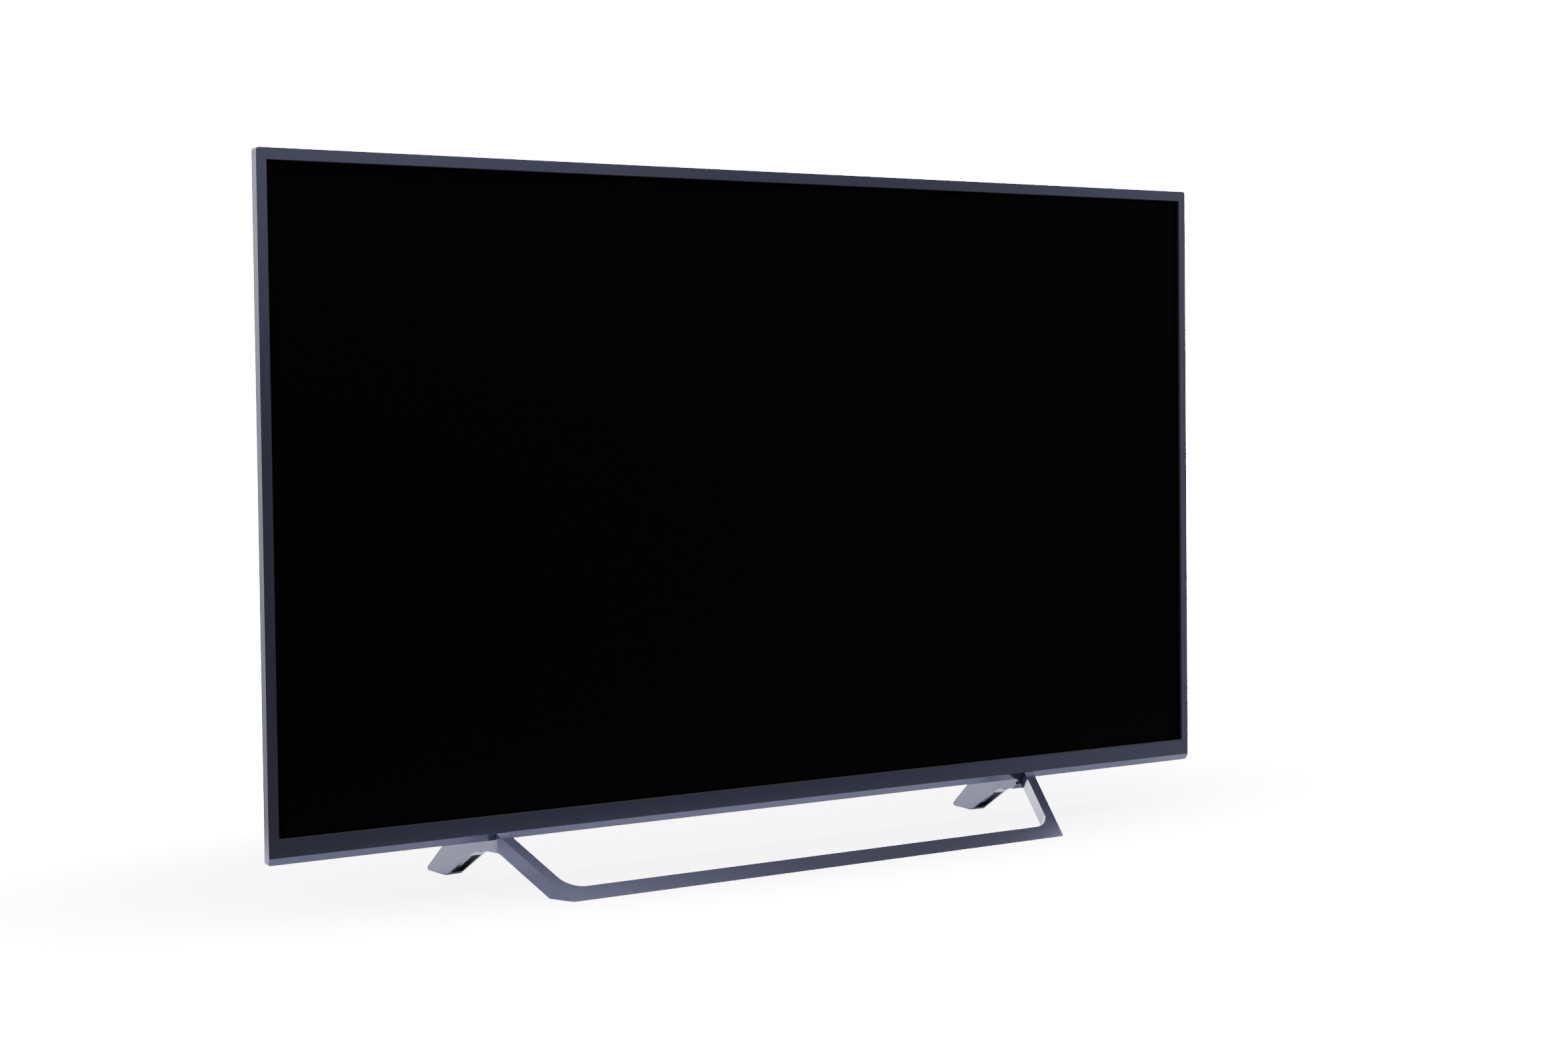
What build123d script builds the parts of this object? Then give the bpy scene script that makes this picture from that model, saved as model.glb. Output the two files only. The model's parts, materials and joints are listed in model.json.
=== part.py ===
"""A flat screen television of the 49 inch class on its loop stand, piece by piece.

X runs to the right, Y to the back and Z up, in millimetres. The origin is on the
floor, in the middle of the width and half way between the stand's front bar and
its heels. Depths inside the set are counted back from the front face of the bezel.
"""
from math import atan2, cos, radians, sin, tan
import os

from build123d import *

os.makedirs("parts", exist_ok=True)

# The outside of the set
set_width = 1101.0
set_height = 645.0
set_depth = 66.0
floor_gap = 48.0

# How far the stand reaches ahead of the bezel's face, and behind it
bar_reach = 92.0
heel_reach = 134.5
toe_reach = 97.5

# Front bezel
bezel_depth = 12.0
bezel_wall = 2.8
bezel_side = 10.0
bezel_top = 11.5
bezel_foot = 17.0
chamfer_height = 7.0
chamfer_setback = 4.0
bezel_corner = 3.0
bezel_edge = 0.6

# Running gaps, face to face gaps and the length by which a cut overruns
fit_gap = 0.3
slide_gap = 0.25
overrun = 1.0

# Screen stack, from the bezel's lip back to the steel chassis
film_thick = 0.2
cell_thick = 1.4
cell_overlap = 3.0
frame_ledge = 1.2
frame_ledge_width = 11.0
frame_rim = 2.4
frame_rim_depth = 4.8
frame_foot_lift = 8.2
sheet_thick = 0.3
guide_thick = 3.0
chassis_thick = 1.0

# Driver boards below the glass
source_length = 460.0
source_height = 10.0
source_lift = 7.5
source_gap = 24.0
strip_width = 32.0
strip_count = 6
strip_lap = 4.0

# Light bar along the foot of the light guide
led_bar_height = 2.5
led_chip_width = 6.0
led_chip_height = 1.0
led_chip_depth = 3.0
led_count = 48

# Rear cover
cover_wall = 2.4
cover_step = 1.0
slim_depth = 34.0
slim_taper = 49.0
bulge_inset = 70.5
bulge_width = set_width - 2 * bulge_inset
bulge_height = 430.0
bulge_taper = 15.0

# Threaded bushes of the wall mount
vesa_pitch = 200.0
vesa_height = 330.0
vesa_bore = 6.0
vesa_bush = 14.0
vesa_recess = 3.0

# Circuit boards on the chassis
post_height = 6.0
post_width = 8.0
screw_hole = 3.2
screw_shank = 3.0
screw_head = 6.0
screw_head_height = 1.8
board_thick = 1.6

main_board_width = 225.0
main_board_height = 185.0
board_inset = 80.0
main_board_left = board_inset - bulge_width / 2
main_board_bottom = 150.0
power_board_width = 225.0
power_board_height = 185.0
power_board_left = bulge_width / 2 - board_inset - power_board_width
power_board_bottom = 150.0
tcon_width = 130.0
tcon_height = 42.0
tcon_bottom = 88.0

# Bays for the sockets in the rear cover
bay_floor = 17.0
bay_length = 84.0
side_bay_lift = 55.0
side_bay_bottom = main_board_bottom + side_bay_lift
side_bay_margin = 5.0
side_bay_height = main_board_height - side_bay_lift - side_bay_margin
inlet_bay_lift = 40.0
inlet_bay_bottom = power_board_bottom + inlet_bay_lift
inlet_bay_height = 64.0
rear_bay_width = 170.0
rear_bay_height = 34.0
rear_bay_depth = 20.0
rear_bay_lift = 10.0
rear_bay_bottom = main_board_bottom + rear_bay_lift
panel_thick = 1.6

# Rear keys
key_pitch = 21.0
key_height = 9.0
key_width = 12.0
key_proud = 1.4
key_travel = 0.8
key_flange = 1.6
key_flange_thick = 1.0
key_row_bottom = 318.0
key_inset = 50.5
key_centre = set_width / 2 - key_inset
key_board_depth = 24.0
key_board_width = 22.0
key_board_margin = 16.0
switch_size = 6.0
switch_rise = 2.4
key_stem = 4.0

# Speakers, which fire down through the cover's underside
speaker_width = 160.0
speaker_height = 52.0
speaker_depth = 40.0
speaker_lift = 17.0
speaker_wall = 2.0
speaker_centre = 205.0
driver_radius = 17.0
basket_wall = 1.6
basket_height = 20.0
magnet_radius = 12.0
magnet_height = 10.0
coil_radius = 7.0
coil_wall = 1.0
coil_play = 0.8
cone_wall = 0.8
cone_travel = 1.5

# Vents
vent_width = 3.0
vent_length = 42.0
vent_pitch = 9.0
vent_columns = 24
grille_columns = 18
grille_slot = 3.0
grille_pitch = 6.0
grille_length = 24.0

# Infra-red receiver under the bezel
lens_width = 24.0
lens_depth = 3.6
lens_front = 6.6
receiver_thick = 1.2
receiver_width = 36.0
receiver_depth = 4.4

# Stand
leg_splay = 4.5
leg_outer = 324.5
leg_width = 18.0
leg_wall = 2.6
leg_shell = 6.0
leg_pinch = 33.0
loop_thick = 14.0
loop_leg_width = 11.5
loop_bar_width = 20.0
loop_corner = 24.0
loop_heel_round = 4.0
pad_thick = 1.2
pad_sunk = 0.6
pad_length = 42.0
pad_width = 11.0
heel_pad_length = 28.0
neck_thick = 8.0
neck_depth = 26.0
neck_back = 54.0
neck_top = 130.0
neck_plate_width = 44.0
neck_plate_thick = 3.0
neck_plate_bottom = 70.0
neck_screw_inset = 7.3
neck_screw_drop = 10.4
bolt_bore = 5.2
bolt_shank = 5.0
bolt_head = 9.0
bolt_head_height = 3.0
inner_cover_thick = 2.2

# Places worked out from the sizes above
face_y = (bar_reach - heel_reach) / 2
set_bottom = floor_gap
set_top = floor_gap + set_height
set_middle = (set_bottom + set_top) / 2
opening_width = set_width - 2 * bezel_side
opening_bottom = set_bottom + chamfer_height + bezel_foot
opening_top = set_top - bezel_top
opening_height = opening_top - opening_bottom
opening_middle = (opening_top + opening_bottom) / 2
bulge_bottom = set_bottom + cover_step
bulge_top = bulge_bottom + bulge_height

film_front = bezel_wall
cell_front = film_front + film_thick
ledge_front = cell_front + cell_thick
rim_front = ledge_front + frame_ledge
guide_front = rim_front + 2 * sheet_thick
reflector_front = guide_front + guide_thick
chassis_front = reflector_front + sheet_thick
chassis_back = chassis_front + chassis_thick
board_front = chassis_back + post_height
board_back = board_front + board_thick


def plane_at(depth):
    """An upright plane that faces the viewer, this deep behind the bezel's face."""
    return Plane.XZ.offset(-(face_y + depth))


def side_plane(x):
    """An upright plane across the set: its X is the depth, and its Y the height."""
    return Plane(origin=(x, face_y, 0), x_dir=(0, 1, 0), z_dir=(1, 0, 0))


def panel(depth, thickness, width, bottom, top, middle=0.0):
    """A flat rectangular piece between two heights, at a depth behind the face."""
    with BuildPart() as piece:
        with BuildSketch(plane_at(depth)):
            with Locations((middle, (bottom + top) / 2)):
                Rectangle(width, top - bottom)
        extrude(amount=-thickness)
    return piece.part


def keep(piece, name):
    """Label a finished piece and write it under its own name."""
    piece.label = name
    export_step(piece, f"parts/{name}.step")


# Front bezel: one moulded frame whose foot is chamfered towards the floor
with BuildPart() as front_bezel:
    with BuildSketch(side_plane(-set_width / 2)):
        Polygon(
            (0, set_bottom + chamfer_height),
            (chamfer_setback, set_bottom),
            (bezel_depth, set_bottom),
            (bezel_depth, set_top),
            (0, set_top),
            align=None,
        )
    extrude(amount=set_width)
    offset(amount=-bezel_wall, openings=front_bezel.faces().sort_by(Axis.Y)[-1])
    with BuildSketch(plane_at(-overrun)):
        with Locations((0, opening_middle)):
            Rectangle(opening_width, opening_height)
    extrude(amount=-(bezel_wall + 2 * overrun), mode=Mode.SUBTRACT)
    outer_corners = front_bezel.edges().filter_by(Axis.Y).filter_by(
        lambda edge: abs(abs(edge.center().X) - set_width / 2) < bezel_edge
    )
    fillet(outer_corners, radius=bezel_corner)
    face_edges = front_bezel.faces().sort_by(Axis.Y)[0].edges()
    fillet(face_edges, radius=bezel_edge)
    with BuildSketch(Plane.XY.offset(set_bottom - overrun)):
        with Locations((0, face_y + lens_front + lens_depth / 2)):
            Rectangle(lens_width, lens_depth)
    extrude(amount=bezel_wall + 2 * overrun, mode=Mode.SUBTRACT)
keep(front_bezel.part, "front_bezel")

# Screen: a polarising film on the glass cell, held behind the bezel's lip
cell_width = opening_width + 2 * cell_overlap
cell_bottom = opening_bottom - cell_overlap
cell_top = opening_top + cell_overlap
film_margin = cell_overlap / 3
film = panel(
    film_front, film_thick, cell_width - 2 * film_margin, cell_bottom + film_margin, cell_top - film_margin
)
keep(film, "front_polariser")
keep(panel(cell_front, cell_thick, cell_width, cell_bottom, cell_top), "lcd_panel")

# Source boards: two long strips below the glass, with the films that reach it
source_bottom = set_bottom + source_lift
source_top = source_bottom + source_height
source_front = cell_front + film_thick
with BuildPart() as source_boards:
    for side in (-1, 1):
        board_middle = side * (source_length + source_gap) / 2
        with BuildSketch(plane_at(source_front)):
            with Locations((board_middle, (source_bottom + source_top) / 2)):
                Rectangle(source_length, source_height)
        extrude(amount=-(ledge_front - source_front))
        strip_pitch = source_length / strip_count
        with BuildSketch(plane_at(cell_front)):
            with Locations((board_middle, (source_top - strip_lap + cell_bottom) / 2)):
                with GridLocations(strip_pitch, strip_pitch, strip_count, 1):
                    Rectangle(strip_width, cell_bottom - source_top + strip_lap)
        extrude(amount=-film_thick)
keep(source_boards.part, "source_boards")

# Middle frame: carries the glass in front and holds the light stack in its rim
frame_half = set_width / 2 - bezel_wall - fit_gap
frame_bottom = set_bottom + frame_foot_lift
frame_top = set_top - bezel_wall - fit_gap
frame_back = rim_front + frame_rim_depth
with BuildPart() as mid_frame:
    with BuildSketch(plane_at(ledge_front)):
        with Locations((0, (frame_bottom + frame_top) / 2)):
            Rectangle(2 * frame_half, frame_top - frame_bottom)
        with Locations((0, opening_middle)):
            Rectangle(
                cell_width - 2 * frame_ledge_width, opening_height - frame_ledge_width, mode=Mode.SUBTRACT
            )
    extrude(amount=-frame_ledge)
    with BuildSketch(plane_at(rim_front)):
        with Locations((0, (frame_bottom + frame_top) / 2)):
            Rectangle(2 * frame_half, frame_top - frame_bottom)
            Rectangle(
                2 * (frame_half - frame_rim), frame_top - frame_bottom - 2 * frame_rim, mode=Mode.SUBTRACT
            )
    extrude(amount=-frame_rim_depth)
keep(mid_frame.part, "mid_frame")

# Light bar and its chips, which shine up into the edge of the light guide
inside_half = frame_half - frame_rim - fit_gap
inside_bottom = frame_bottom + frame_rim
inside_top = frame_top - frame_rim - fit_gap
led_bar_top = inside_bottom + led_bar_height
keep(panel(rim_front, chassis_front - rim_front, 2 * inside_half, inside_bottom, led_bar_top), "led_bar")
led_pitch = 2 * inside_half / led_count
with BuildPart() as led_chips:
    with BuildSketch(plane_at(guide_front)):
        with Locations((0, led_bar_top + led_chip_height / 2)):
            with GridLocations(led_pitch, led_pitch, led_count, 1):
                Rectangle(led_chip_width, led_chip_height)
    extrude(amount=-led_chip_depth)
keep(led_chips.part, "led_chips")

# Light guide with its sheets in front and the reflector behind
guide_bottom = led_bar_top + led_chip_height + fit_gap
sheet_places = {
    "prism_sheet": (rim_front, sheet_thick),
    "diffuser_sheet": (rim_front + sheet_thick, sheet_thick),
    "light_guide_plate": (guide_front, guide_thick),
    "reflector_sheet": (reflector_front, sheet_thick),
}
for name, (depth, thickness) in sheet_places.items():
    keep(panel(depth, thickness, 2 * inside_half, guide_bottom, inside_top), name)

# Places of the boards' posts, and of the posts that take the cover's screws
post_inset = post_width
speaker_bottom = set_bottom + speaker_lift
speaker_top = speaker_bottom + speaker_height


def corner_posts(left, bottom, width, height):
    """The four corners of a board, in from its edges by the posts' inset."""
    return [
        (left + dx, bottom + dz)
        for dx in (post_inset, width - post_inset)
        for dz in (post_inset, height - post_inset)
    ]


board_posts = (
    corner_posts(main_board_left, main_board_bottom, main_board_width, main_board_height)
    + corner_posts(power_board_left, power_board_bottom, power_board_width, power_board_height)
    + corner_posts(-tcon_width / 2, tcon_bottom, tcon_width, tcon_height)
)

key_count = 6
key_heights = [key_row_bottom + index * key_pitch for index in range(key_count)]
key_board_bottom = key_heights[0] - key_board_margin
key_board_top = key_heights[-1] + key_board_margin
key_posts = [
    (key_centre, key_board_bottom + post_width / 2),
    (key_centre, key_board_top - post_width / 2),
]

# The cover's screws stand on the flat of its slim part
slim_inset = cover_step + (slim_depth - bezel_depth) * tan(radians(slim_taper))
screw_inset = slim_inset + screw_head + cover_wall + overrun
screw_column = set_width / 2 - screw_inset
screw_row = set_top - screw_inset
row_shares = (-1.0, -0.5, 0.0, 0.5, 1.0)
column_shares = (0.13, 0.34, 0.66)
cover_screw_places = [(share * screw_column, screw_row) for share in row_shares]
cover_screw_places += [
    (side * screw_column, set_bottom + share * set_height) for share in column_shares for side in (-1, 1)
]
vesa_places = [
    (dx * vesa_pitch / 2, vesa_height + dz * vesa_pitch / 2) for dx in (-1, 1) for dz in (-1, 1)
]

# The stand's necks come up through the cover's underside, to plates on the chassis
neck_front = neck_back - neck_depth
blade_depth = neck_back - neck_depth / 2
neck_middle = leg_outer + tan(radians(leg_splay)) * blade_depth - leg_width / 2


def neck_screws(side):
    """The four screws that hold one neck's plate to the chassis."""
    across = neck_plate_width / 2 - neck_screw_inset
    return [
        (side * neck_middle + dx * across, height)
        for dx in (-1, 1)
        for height in (neck_plate_bottom + neck_screw_drop, neck_top - neck_screw_drop)
    ]


# Steel chassis: a pan with pressed posts and two long ribs across its back
chassis_bottom = inside_bottom + fit_gap
rib_width = 30.0
rib_rise = 4.0
rib_low = bulge_top + rib_width
rib_rows = (rib_low, (rib_low + set_top) / 2)
boss_height = 3.0
with BuildPart() as rear_chassis:
    with BuildSketch(plane_at(chassis_front)):
        with Locations((0, (chassis_bottom + inside_top) / 2)):
            Rectangle(2 * inside_half, inside_top - chassis_bottom)
        with Locations(*vesa_places):
            Circle(vesa_bore / 2, mode=Mode.SUBTRACT)
        with Locations(*neck_screws(-1), *neck_screws(1)):
            Circle(bolt_bore / 2, mode=Mode.SUBTRACT)
    extrude(amount=-chassis_thick)
    with BuildSketch(plane_at(chassis_back)):
        with Locations(*board_posts):
            Circle(post_width / 2)
            Circle(screw_hole / 2, mode=Mode.SUBTRACT)
    extrude(amount=-post_height)
    with BuildSketch(plane_at(chassis_back)):
        with Locations(*key_posts):
            Circle(post_width / 2)
            Circle(screw_hole / 2, mode=Mode.SUBTRACT)
    extrude(amount=-(key_board_depth - chassis_back))
    with BuildSketch(plane_at(chassis_back)):
        with Locations(*cover_screw_places):
            Circle(post_width / 2)
            Circle(screw_hole / 2, mode=Mode.SUBTRACT)
    extrude(amount=-boss_height)
    with BuildSketch(plane_at(chassis_back)):
        with Locations(*[(0, row) for row in rib_rows]):
            Rectangle(2 * screw_column - 4 * post_width, rib_width)
    extrude(amount=-rib_rise)
keep(rear_chassis.part, "rear_chassis")

# Threaded bushes of the wall mount, from the chassis to the cover's back
bush_back = set_depth - vesa_recess
with BuildPart() as vesa_bushes:
    with BuildSketch(plane_at(chassis_back)):
        with Locations(*vesa_places):
            Circle(vesa_bush / 2)
            Circle(vesa_bore / 2, mode=Mode.SUBTRACT)
    extrude(amount=-(bush_back - chassis_back))
keep(vesa_bushes.part, "vesa_bushes")


# Rear cover: a slim sloping shell with a deeper bulge over the boards
bulge_middle = bulge_bottom + bulge_height / 2
plug_front = frame_back + film_thick


def cover_form(inset):
    """The rear cover's outside, or its cavity where it is drawn in by the wall."""
    slim_draw = 2 * (cover_step + inset / cos(radians(slim_taper)))
    bulge_draw = 2 * inset / cos(radians(bulge_taper))
    with BuildPart() as form:
        with BuildSketch(plane_at(bezel_depth)):
            with Locations((0, set_middle)):
                Rectangle(set_width - slim_draw, set_height - slim_draw)
        extrude(amount=-(slim_depth - bezel_depth - inset), taper=slim_taper)
        with BuildSketch(plane_at(bezel_depth)):
            with Locations((0, bulge_middle)):
                Rectangle(bulge_width - bulge_draw, bulge_height - bulge_draw)
        extrude(amount=-(set_depth - bezel_depth - inset), taper=bulge_taper)
        if inset:
            with BuildSketch(plane_at(plug_front - overrun)):
                with Locations((0, set_middle)):
                    Rectangle(set_width - slim_draw, set_height - slim_draw)
            extrude(amount=-(bezel_depth - plug_front + overrun))
    return form.part


def bay_block(end, bottom, height, side, wall):
    """A socket bay that opens to one side and the back, or the walls around it."""
    reach = bulge_width / 2 + bay_length / 4 - end + wall
    middle = side * (end - wall + reach / 2)
    return panel(
        bay_floor - wall, set_depth, reach, bottom - wall, bottom + height + wall, middle
    )


bay_end = -main_board_left + cover_wall + panel_thick
rear_bay_middle = -bay_end + cover_wall + rear_bay_width / 2
rear_bay_floor = set_depth - rear_bay_depth
bays = [
    (bay_end, side_bay_bottom, side_bay_height, -1),
    (bay_end, inlet_bay_bottom, inlet_bay_height, 1),
]
with BuildPart() as cover_cavity:
    add(cover_form(cover_wall))
    for end, bottom, height, side in bays:
        add(bay_block(end, bottom, height, side, cover_wall), mode=Mode.SUBTRACT)
    add(
        panel(
            rear_bay_floor - cover_wall,
            rear_bay_depth + cover_wall,
            rear_bay_width + 2 * cover_wall,
            rear_bay_bottom - cover_wall,
            rear_bay_bottom + rear_bay_height + cover_wall,
            rear_bay_middle,
        ),
        mode=Mode.SUBTRACT,
    )

# The cover's screws sit at the foot of deep wells that reach down to the chassis
well_floor = chassis_back + boss_height + fit_gap
well_seat = well_floor + cover_wall
well_width = screw_head + 2 * slide_gap
window_margin = 6.0
socket_room = 18.0
side_window_top = board_back + socket_room
vent_rows = [(side * vent_columns * vent_pitch, bulge_middle + bulge_height / 3) for side in (-1, 1)]
vent_rows += [(0, bulge_bottom + bulge_height / 8)]
grille_middle = speaker_depth / 2 + chassis_back + cover_wall

with BuildPart() as rear_cover:
    add(cover_form(0))
    with BuildSketch(plane_at(plug_front)):
        with Locations((0, (frame_top + set_bottom + bezel_wall + fit_gap) / 2)):
            Rectangle(2 * frame_half, frame_top - set_bottom - bezel_wall - fit_gap)
    extrude(amount=-(bezel_depth - plug_front))
    add(cover_cavity.part, mode=Mode.SUBTRACT)
    with BuildSketch(plane_at(well_floor)):
        with Locations(*cover_screw_places):
            Circle(well_width / 2 + cover_wall)
    extrude(amount=-(slim_depth - well_floor))
    with BuildSketch(plane_at(well_seat)):
        with Locations(*cover_screw_places):
            Circle(well_width / 2)
    extrude(amount=-(set_depth - well_seat), mode=Mode.SUBTRACT)
    with BuildSketch(plane_at(well_floor - overrun)):
        with Locations(*cover_screw_places):
            Circle(screw_hole / 2)
    extrude(amount=-(set_depth - well_seat), mode=Mode.SUBTRACT)
    for end, bottom, height, side in bays:
        add(bay_block(end, bottom, height, side, 0), mode=Mode.SUBTRACT)
        with BuildSketch(side_plane(side * (end - cover_wall - overrun))):
            with Locations(((board_back + side_window_top) / 2, bottom + height / 2)):
                Rectangle(side_window_top - board_back, height - 2 * (window_margin if side < 0 else 0))
        extrude(amount=side * (cover_wall + 2 * overrun), mode=Mode.SUBTRACT)
    add(
        panel(
            rear_bay_floor,
            set_depth,
            rear_bay_width,
            rear_bay_bottom,
            rear_bay_bottom + rear_bay_height,
            rear_bay_middle,
        ),
        mode=Mode.SUBTRACT,
    )
    with BuildSketch(plane_at(rear_bay_floor - cover_wall - overrun)):
        with Locations((rear_bay_middle, rear_bay_bottom + rear_bay_height / 2)):
            Rectangle(rear_bay_width - 2 * window_margin, rear_bay_height - window_margin)
        with Locations(*vesa_places):
            Circle(vesa_bush / 2 + slide_gap)
        with Locations(*vent_rows):
            with GridLocations(vent_pitch, vent_pitch, vent_columns, 1):
                SlotOverall(vent_length, vent_width, rotation=90)
    extrude(amount=-set_depth, mode=Mode.SUBTRACT)
    with BuildSketch(plane_at(slim_depth - cover_wall - overrun)):
        with Locations(*[(key_centre, height) for height in key_heights]):
            RectangleRounded(key_width + 2 * slide_gap, key_height + 2 * slide_gap, key_height / 3)
    extrude(amount=-(cover_wall + 2 * overrun), mode=Mode.SUBTRACT)
    with BuildSketch(Plane.XY.offset(set_bottom)):
        for side in (-1, 1):
            with Locations((side * speaker_centre, face_y + grille_middle)):
                with GridLocations(grille_pitch, grille_pitch, grille_columns, 1):
                    SlotOverall(grille_length, grille_slot, rotation=90)
            with Locations((side * neck_middle, face_y + blade_depth)):
                Rectangle(neck_thick + 2 * cover_step, neck_depth + 2 * cover_step)
    extrude(amount=speaker_lift, mode=Mode.SUBTRACT)
keep(rear_cover.part, "rear_cover")

with BuildPart() as cover_screws:
    with BuildSketch(plane_at(well_seat)):
        with Locations(*cover_screw_places):
            Circle(screw_head / 2)
            RegularPolygon(screw_head / 5, 6, mode=Mode.SUBTRACT)
    extrude(amount=-screw_head_height)
    with BuildSketch(plane_at(chassis_back + film_thick)):
        with Locations(*cover_screw_places):
            Circle(screw_shank / 2)
    extrude(amount=-(well_seat - chassis_back))
keep(cover_screws.part, "rear_cover_screws")


# Circuit boards, each pierced over its posts
def circuit_board(depth, left, bottom, width, height, holes):
    """A board with its corners rounded and a hole over each of its posts."""
    with BuildPart() as board:
        with BuildSketch(plane_at(depth)):
            with Locations((left + width / 2, bottom + height / 2)):
                RectangleRounded(width, height, screw_hole)
            with Locations(*holes):
                Circle(screw_hole / 2, mode=Mode.SUBTRACT)
        extrude(amount=-board_thick)
    return board.part


boards = {
    "main_board": (main_board_left, main_board_bottom, main_board_width, main_board_height),
    "power_board": (power_board_left, power_board_bottom, power_board_width, power_board_height),
    "tcon_board": (-tcon_width / 2, tcon_bottom, tcon_width, tcon_height),
}
for name, (left, bottom, width, height) in boards.items():
    holes = corner_posts(left, bottom, width, height)
    keep(circuit_board(board_front, left, bottom, width, height, holes), name)

with BuildPart() as board_screws:
    with BuildSketch(plane_at(board_back)):
        with Locations(*board_posts):
            Circle(screw_head / 2)
    extrude(amount=-screw_head_height)
    with BuildSketch(plane_at(chassis_back + film_thick)):
        with Locations(*board_posts):
            Circle(screw_shank / 2)
    extrude(amount=-(board_back - chassis_back))
keep(board_screws.part, "board_screws")

# What stands on the boards, as shares of each board's width and height
chip_height = 1.6
chip_shares = (
    (0.45, 0.78, 0.1, 0.09),
    (0.62, 0.78, 0.1, 0.09),
    (0.8, 0.62, 0.12, 0.16),
    (0.82, 0.3, 0.1, 0.1),
)
with BuildPart() as main_board_chips:
    with BuildSketch(plane_at(board_back)):
        for across, up, width_share, height_share in chip_shares:
            with Locations(
                (main_board_left + across * main_board_width, main_board_bottom + up * main_board_height)
            ):
                Rectangle(width_share * main_board_width, height_share * main_board_height)
    extrude(amount=-chip_height)
keep(main_board_chips.part, "main_board_chips")

# Heat sink of the main chip: a foot plate under a row of fins
sink_width = 62.0
sink_height = 56.0
sink_foot = 2.6
sink_rise = 16.0
fin_count = 11
fin_thick = 1.4
sink_place = (main_board_left + main_board_width / 2, main_board_bottom + main_board_height * 0.46)
with BuildPart() as main_heatsink:
    with BuildSketch(plane_at(board_back)):
        with Locations(sink_place):
            Rectangle(sink_width, sink_height)
    extrude(amount=-sink_foot)
    with BuildSketch(plane_at(board_back + sink_foot)):
        with Locations(sink_place):
            with GridLocations((sink_width - fin_thick) / (fin_count - 1), sink_height, fin_count, 1):
                Rectangle(fin_thick, sink_height)
    extrude(amount=-(sink_rise - sink_foot))
keep(main_heatsink.part, "main_heatsink")

transformer_rise = 24.0
transformer_shares = ((0.55, 0.62, 0.2, 0.2), (0.3, 0.66, 0.13, 0.15))
core_share = 0.5
with BuildPart() as power_transformers:
    for across, up, width_share, height_share in transformer_shares:
        place = (power_board_left + across * power_board_width, power_board_bottom + up * power_board_height)
        with BuildSketch(plane_at(board_back)):
            with Locations(place):
                Rectangle(width_share * power_board_width, height_share * power_board_height)
        extrude(amount=-transformer_rise * core_share)
        with BuildSketch(plane_at(board_back)):
            with Locations(place):
                Rectangle(
                    width_share * power_board_width * core_share, height_share * power_board_height
                )
        extrude(amount=-transformer_rise)
keep(power_transformers.part, "power_transformers")

capacitor_rise = 30.0
capacitor_radius = 9.0
capacitor_shares = ((0.78, 0.25), (0.66, 0.25), (0.3, 0.3), (0.2, 0.3), (0.1, 0.3))
with BuildPart() as power_capacitors:
    with BuildSketch(plane_at(board_back)):
        for across, up in capacitor_shares:
            with Locations(
                (power_board_left + across * power_board_width, power_board_bottom + up * power_board_height)
            ):
                Circle(capacitor_radius)
    extrude(amount=-capacitor_rise)
    fillet(power_capacitors.faces().sort_by(Axis.Y)[-len(capacitor_shares):].edges(), radius=bezel_edge)
keep(power_capacitors.part, "power_capacitors")

radiator_thick = 2.5
radiator_length = 70.0
radiator_rise = 26.0
radiator_shares = ((0.42, 0.3), (0.42, 0.86))
with BuildPart() as power_radiators:
    with BuildSketch(plane_at(board_back)):
        for across, up in radiator_shares:
            with Locations(
                (power_board_left + across * power_board_width, power_board_bottom + up * power_board_height)
            ):
                Rectangle(radiator_thick, radiator_length / 2)
                Rectangle(radiator_length / 3, radiator_thick)
    extrude(amount=-radiator_rise)
keep(power_radiators.part, "power_radiators")

# Flat cables that hang from the timing board and turn up to the source boards
ribbon_width = 40.0
ribbon_thick = 0.3
ribbon_low = source_bottom - 2 * overrun
with BuildPart() as panel_ribbons:
    for side in (-1, 1):
        middle = side * (source_gap / 2 + ribbon_width / 2 + overrun)
        with BuildSketch(side_plane(middle - ribbon_width / 2)):
            Polygon(
                (ledge_front, ribbon_low - ribbon_thick),
                (board_front, ribbon_low - ribbon_thick),
                (board_front, tcon_bottom + screw_head),
                (board_front - ribbon_thick, tcon_bottom + screw_head),
                (board_front - ribbon_thick, ribbon_low),
                (ledge_front + ribbon_thick, ribbon_low),
                (ledge_front + ribbon_thick, frame_bottom - film_thick),
                (ledge_front, frame_bottom - film_thick),
                align=None,
            )
        extrude(amount=ribbon_width)
keep(panel_ribbons.part, "panel_ribbons")

# Wire bundles taped flat to the chassis
harness_width = 7.0
harness_thick = 2.2
harness_bend = 12.0
harness_lane = speaker_top + harness_width
board_gap_left = main_board_left + main_board_width
with BuildPart() as board_harness:
    with BuildSketch(plane_at(chassis_back)):
        with BuildLine():
            FilletPolyline(
                (board_gap_left - harness_bend, main_board_bottom + main_board_height / 2),
                (board_gap_left + 2 * harness_bend, main_board_bottom + main_board_height / 2),
                (board_gap_left + 2 * harness_bend, harness_lane + harness_bend),
                (power_board_left - 2 * harness_bend, harness_lane + harness_bend),
                (power_board_left - 2 * harness_bend, power_board_bottom + power_board_height / 2),
                (power_board_left + harness_bend, power_board_bottom + power_board_height / 2),
                radius=harness_bend,
            )
        trace(line_width=harness_width)
    extrude(amount=-harness_thick)
keep(board_harness.part, "board_harness")


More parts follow.
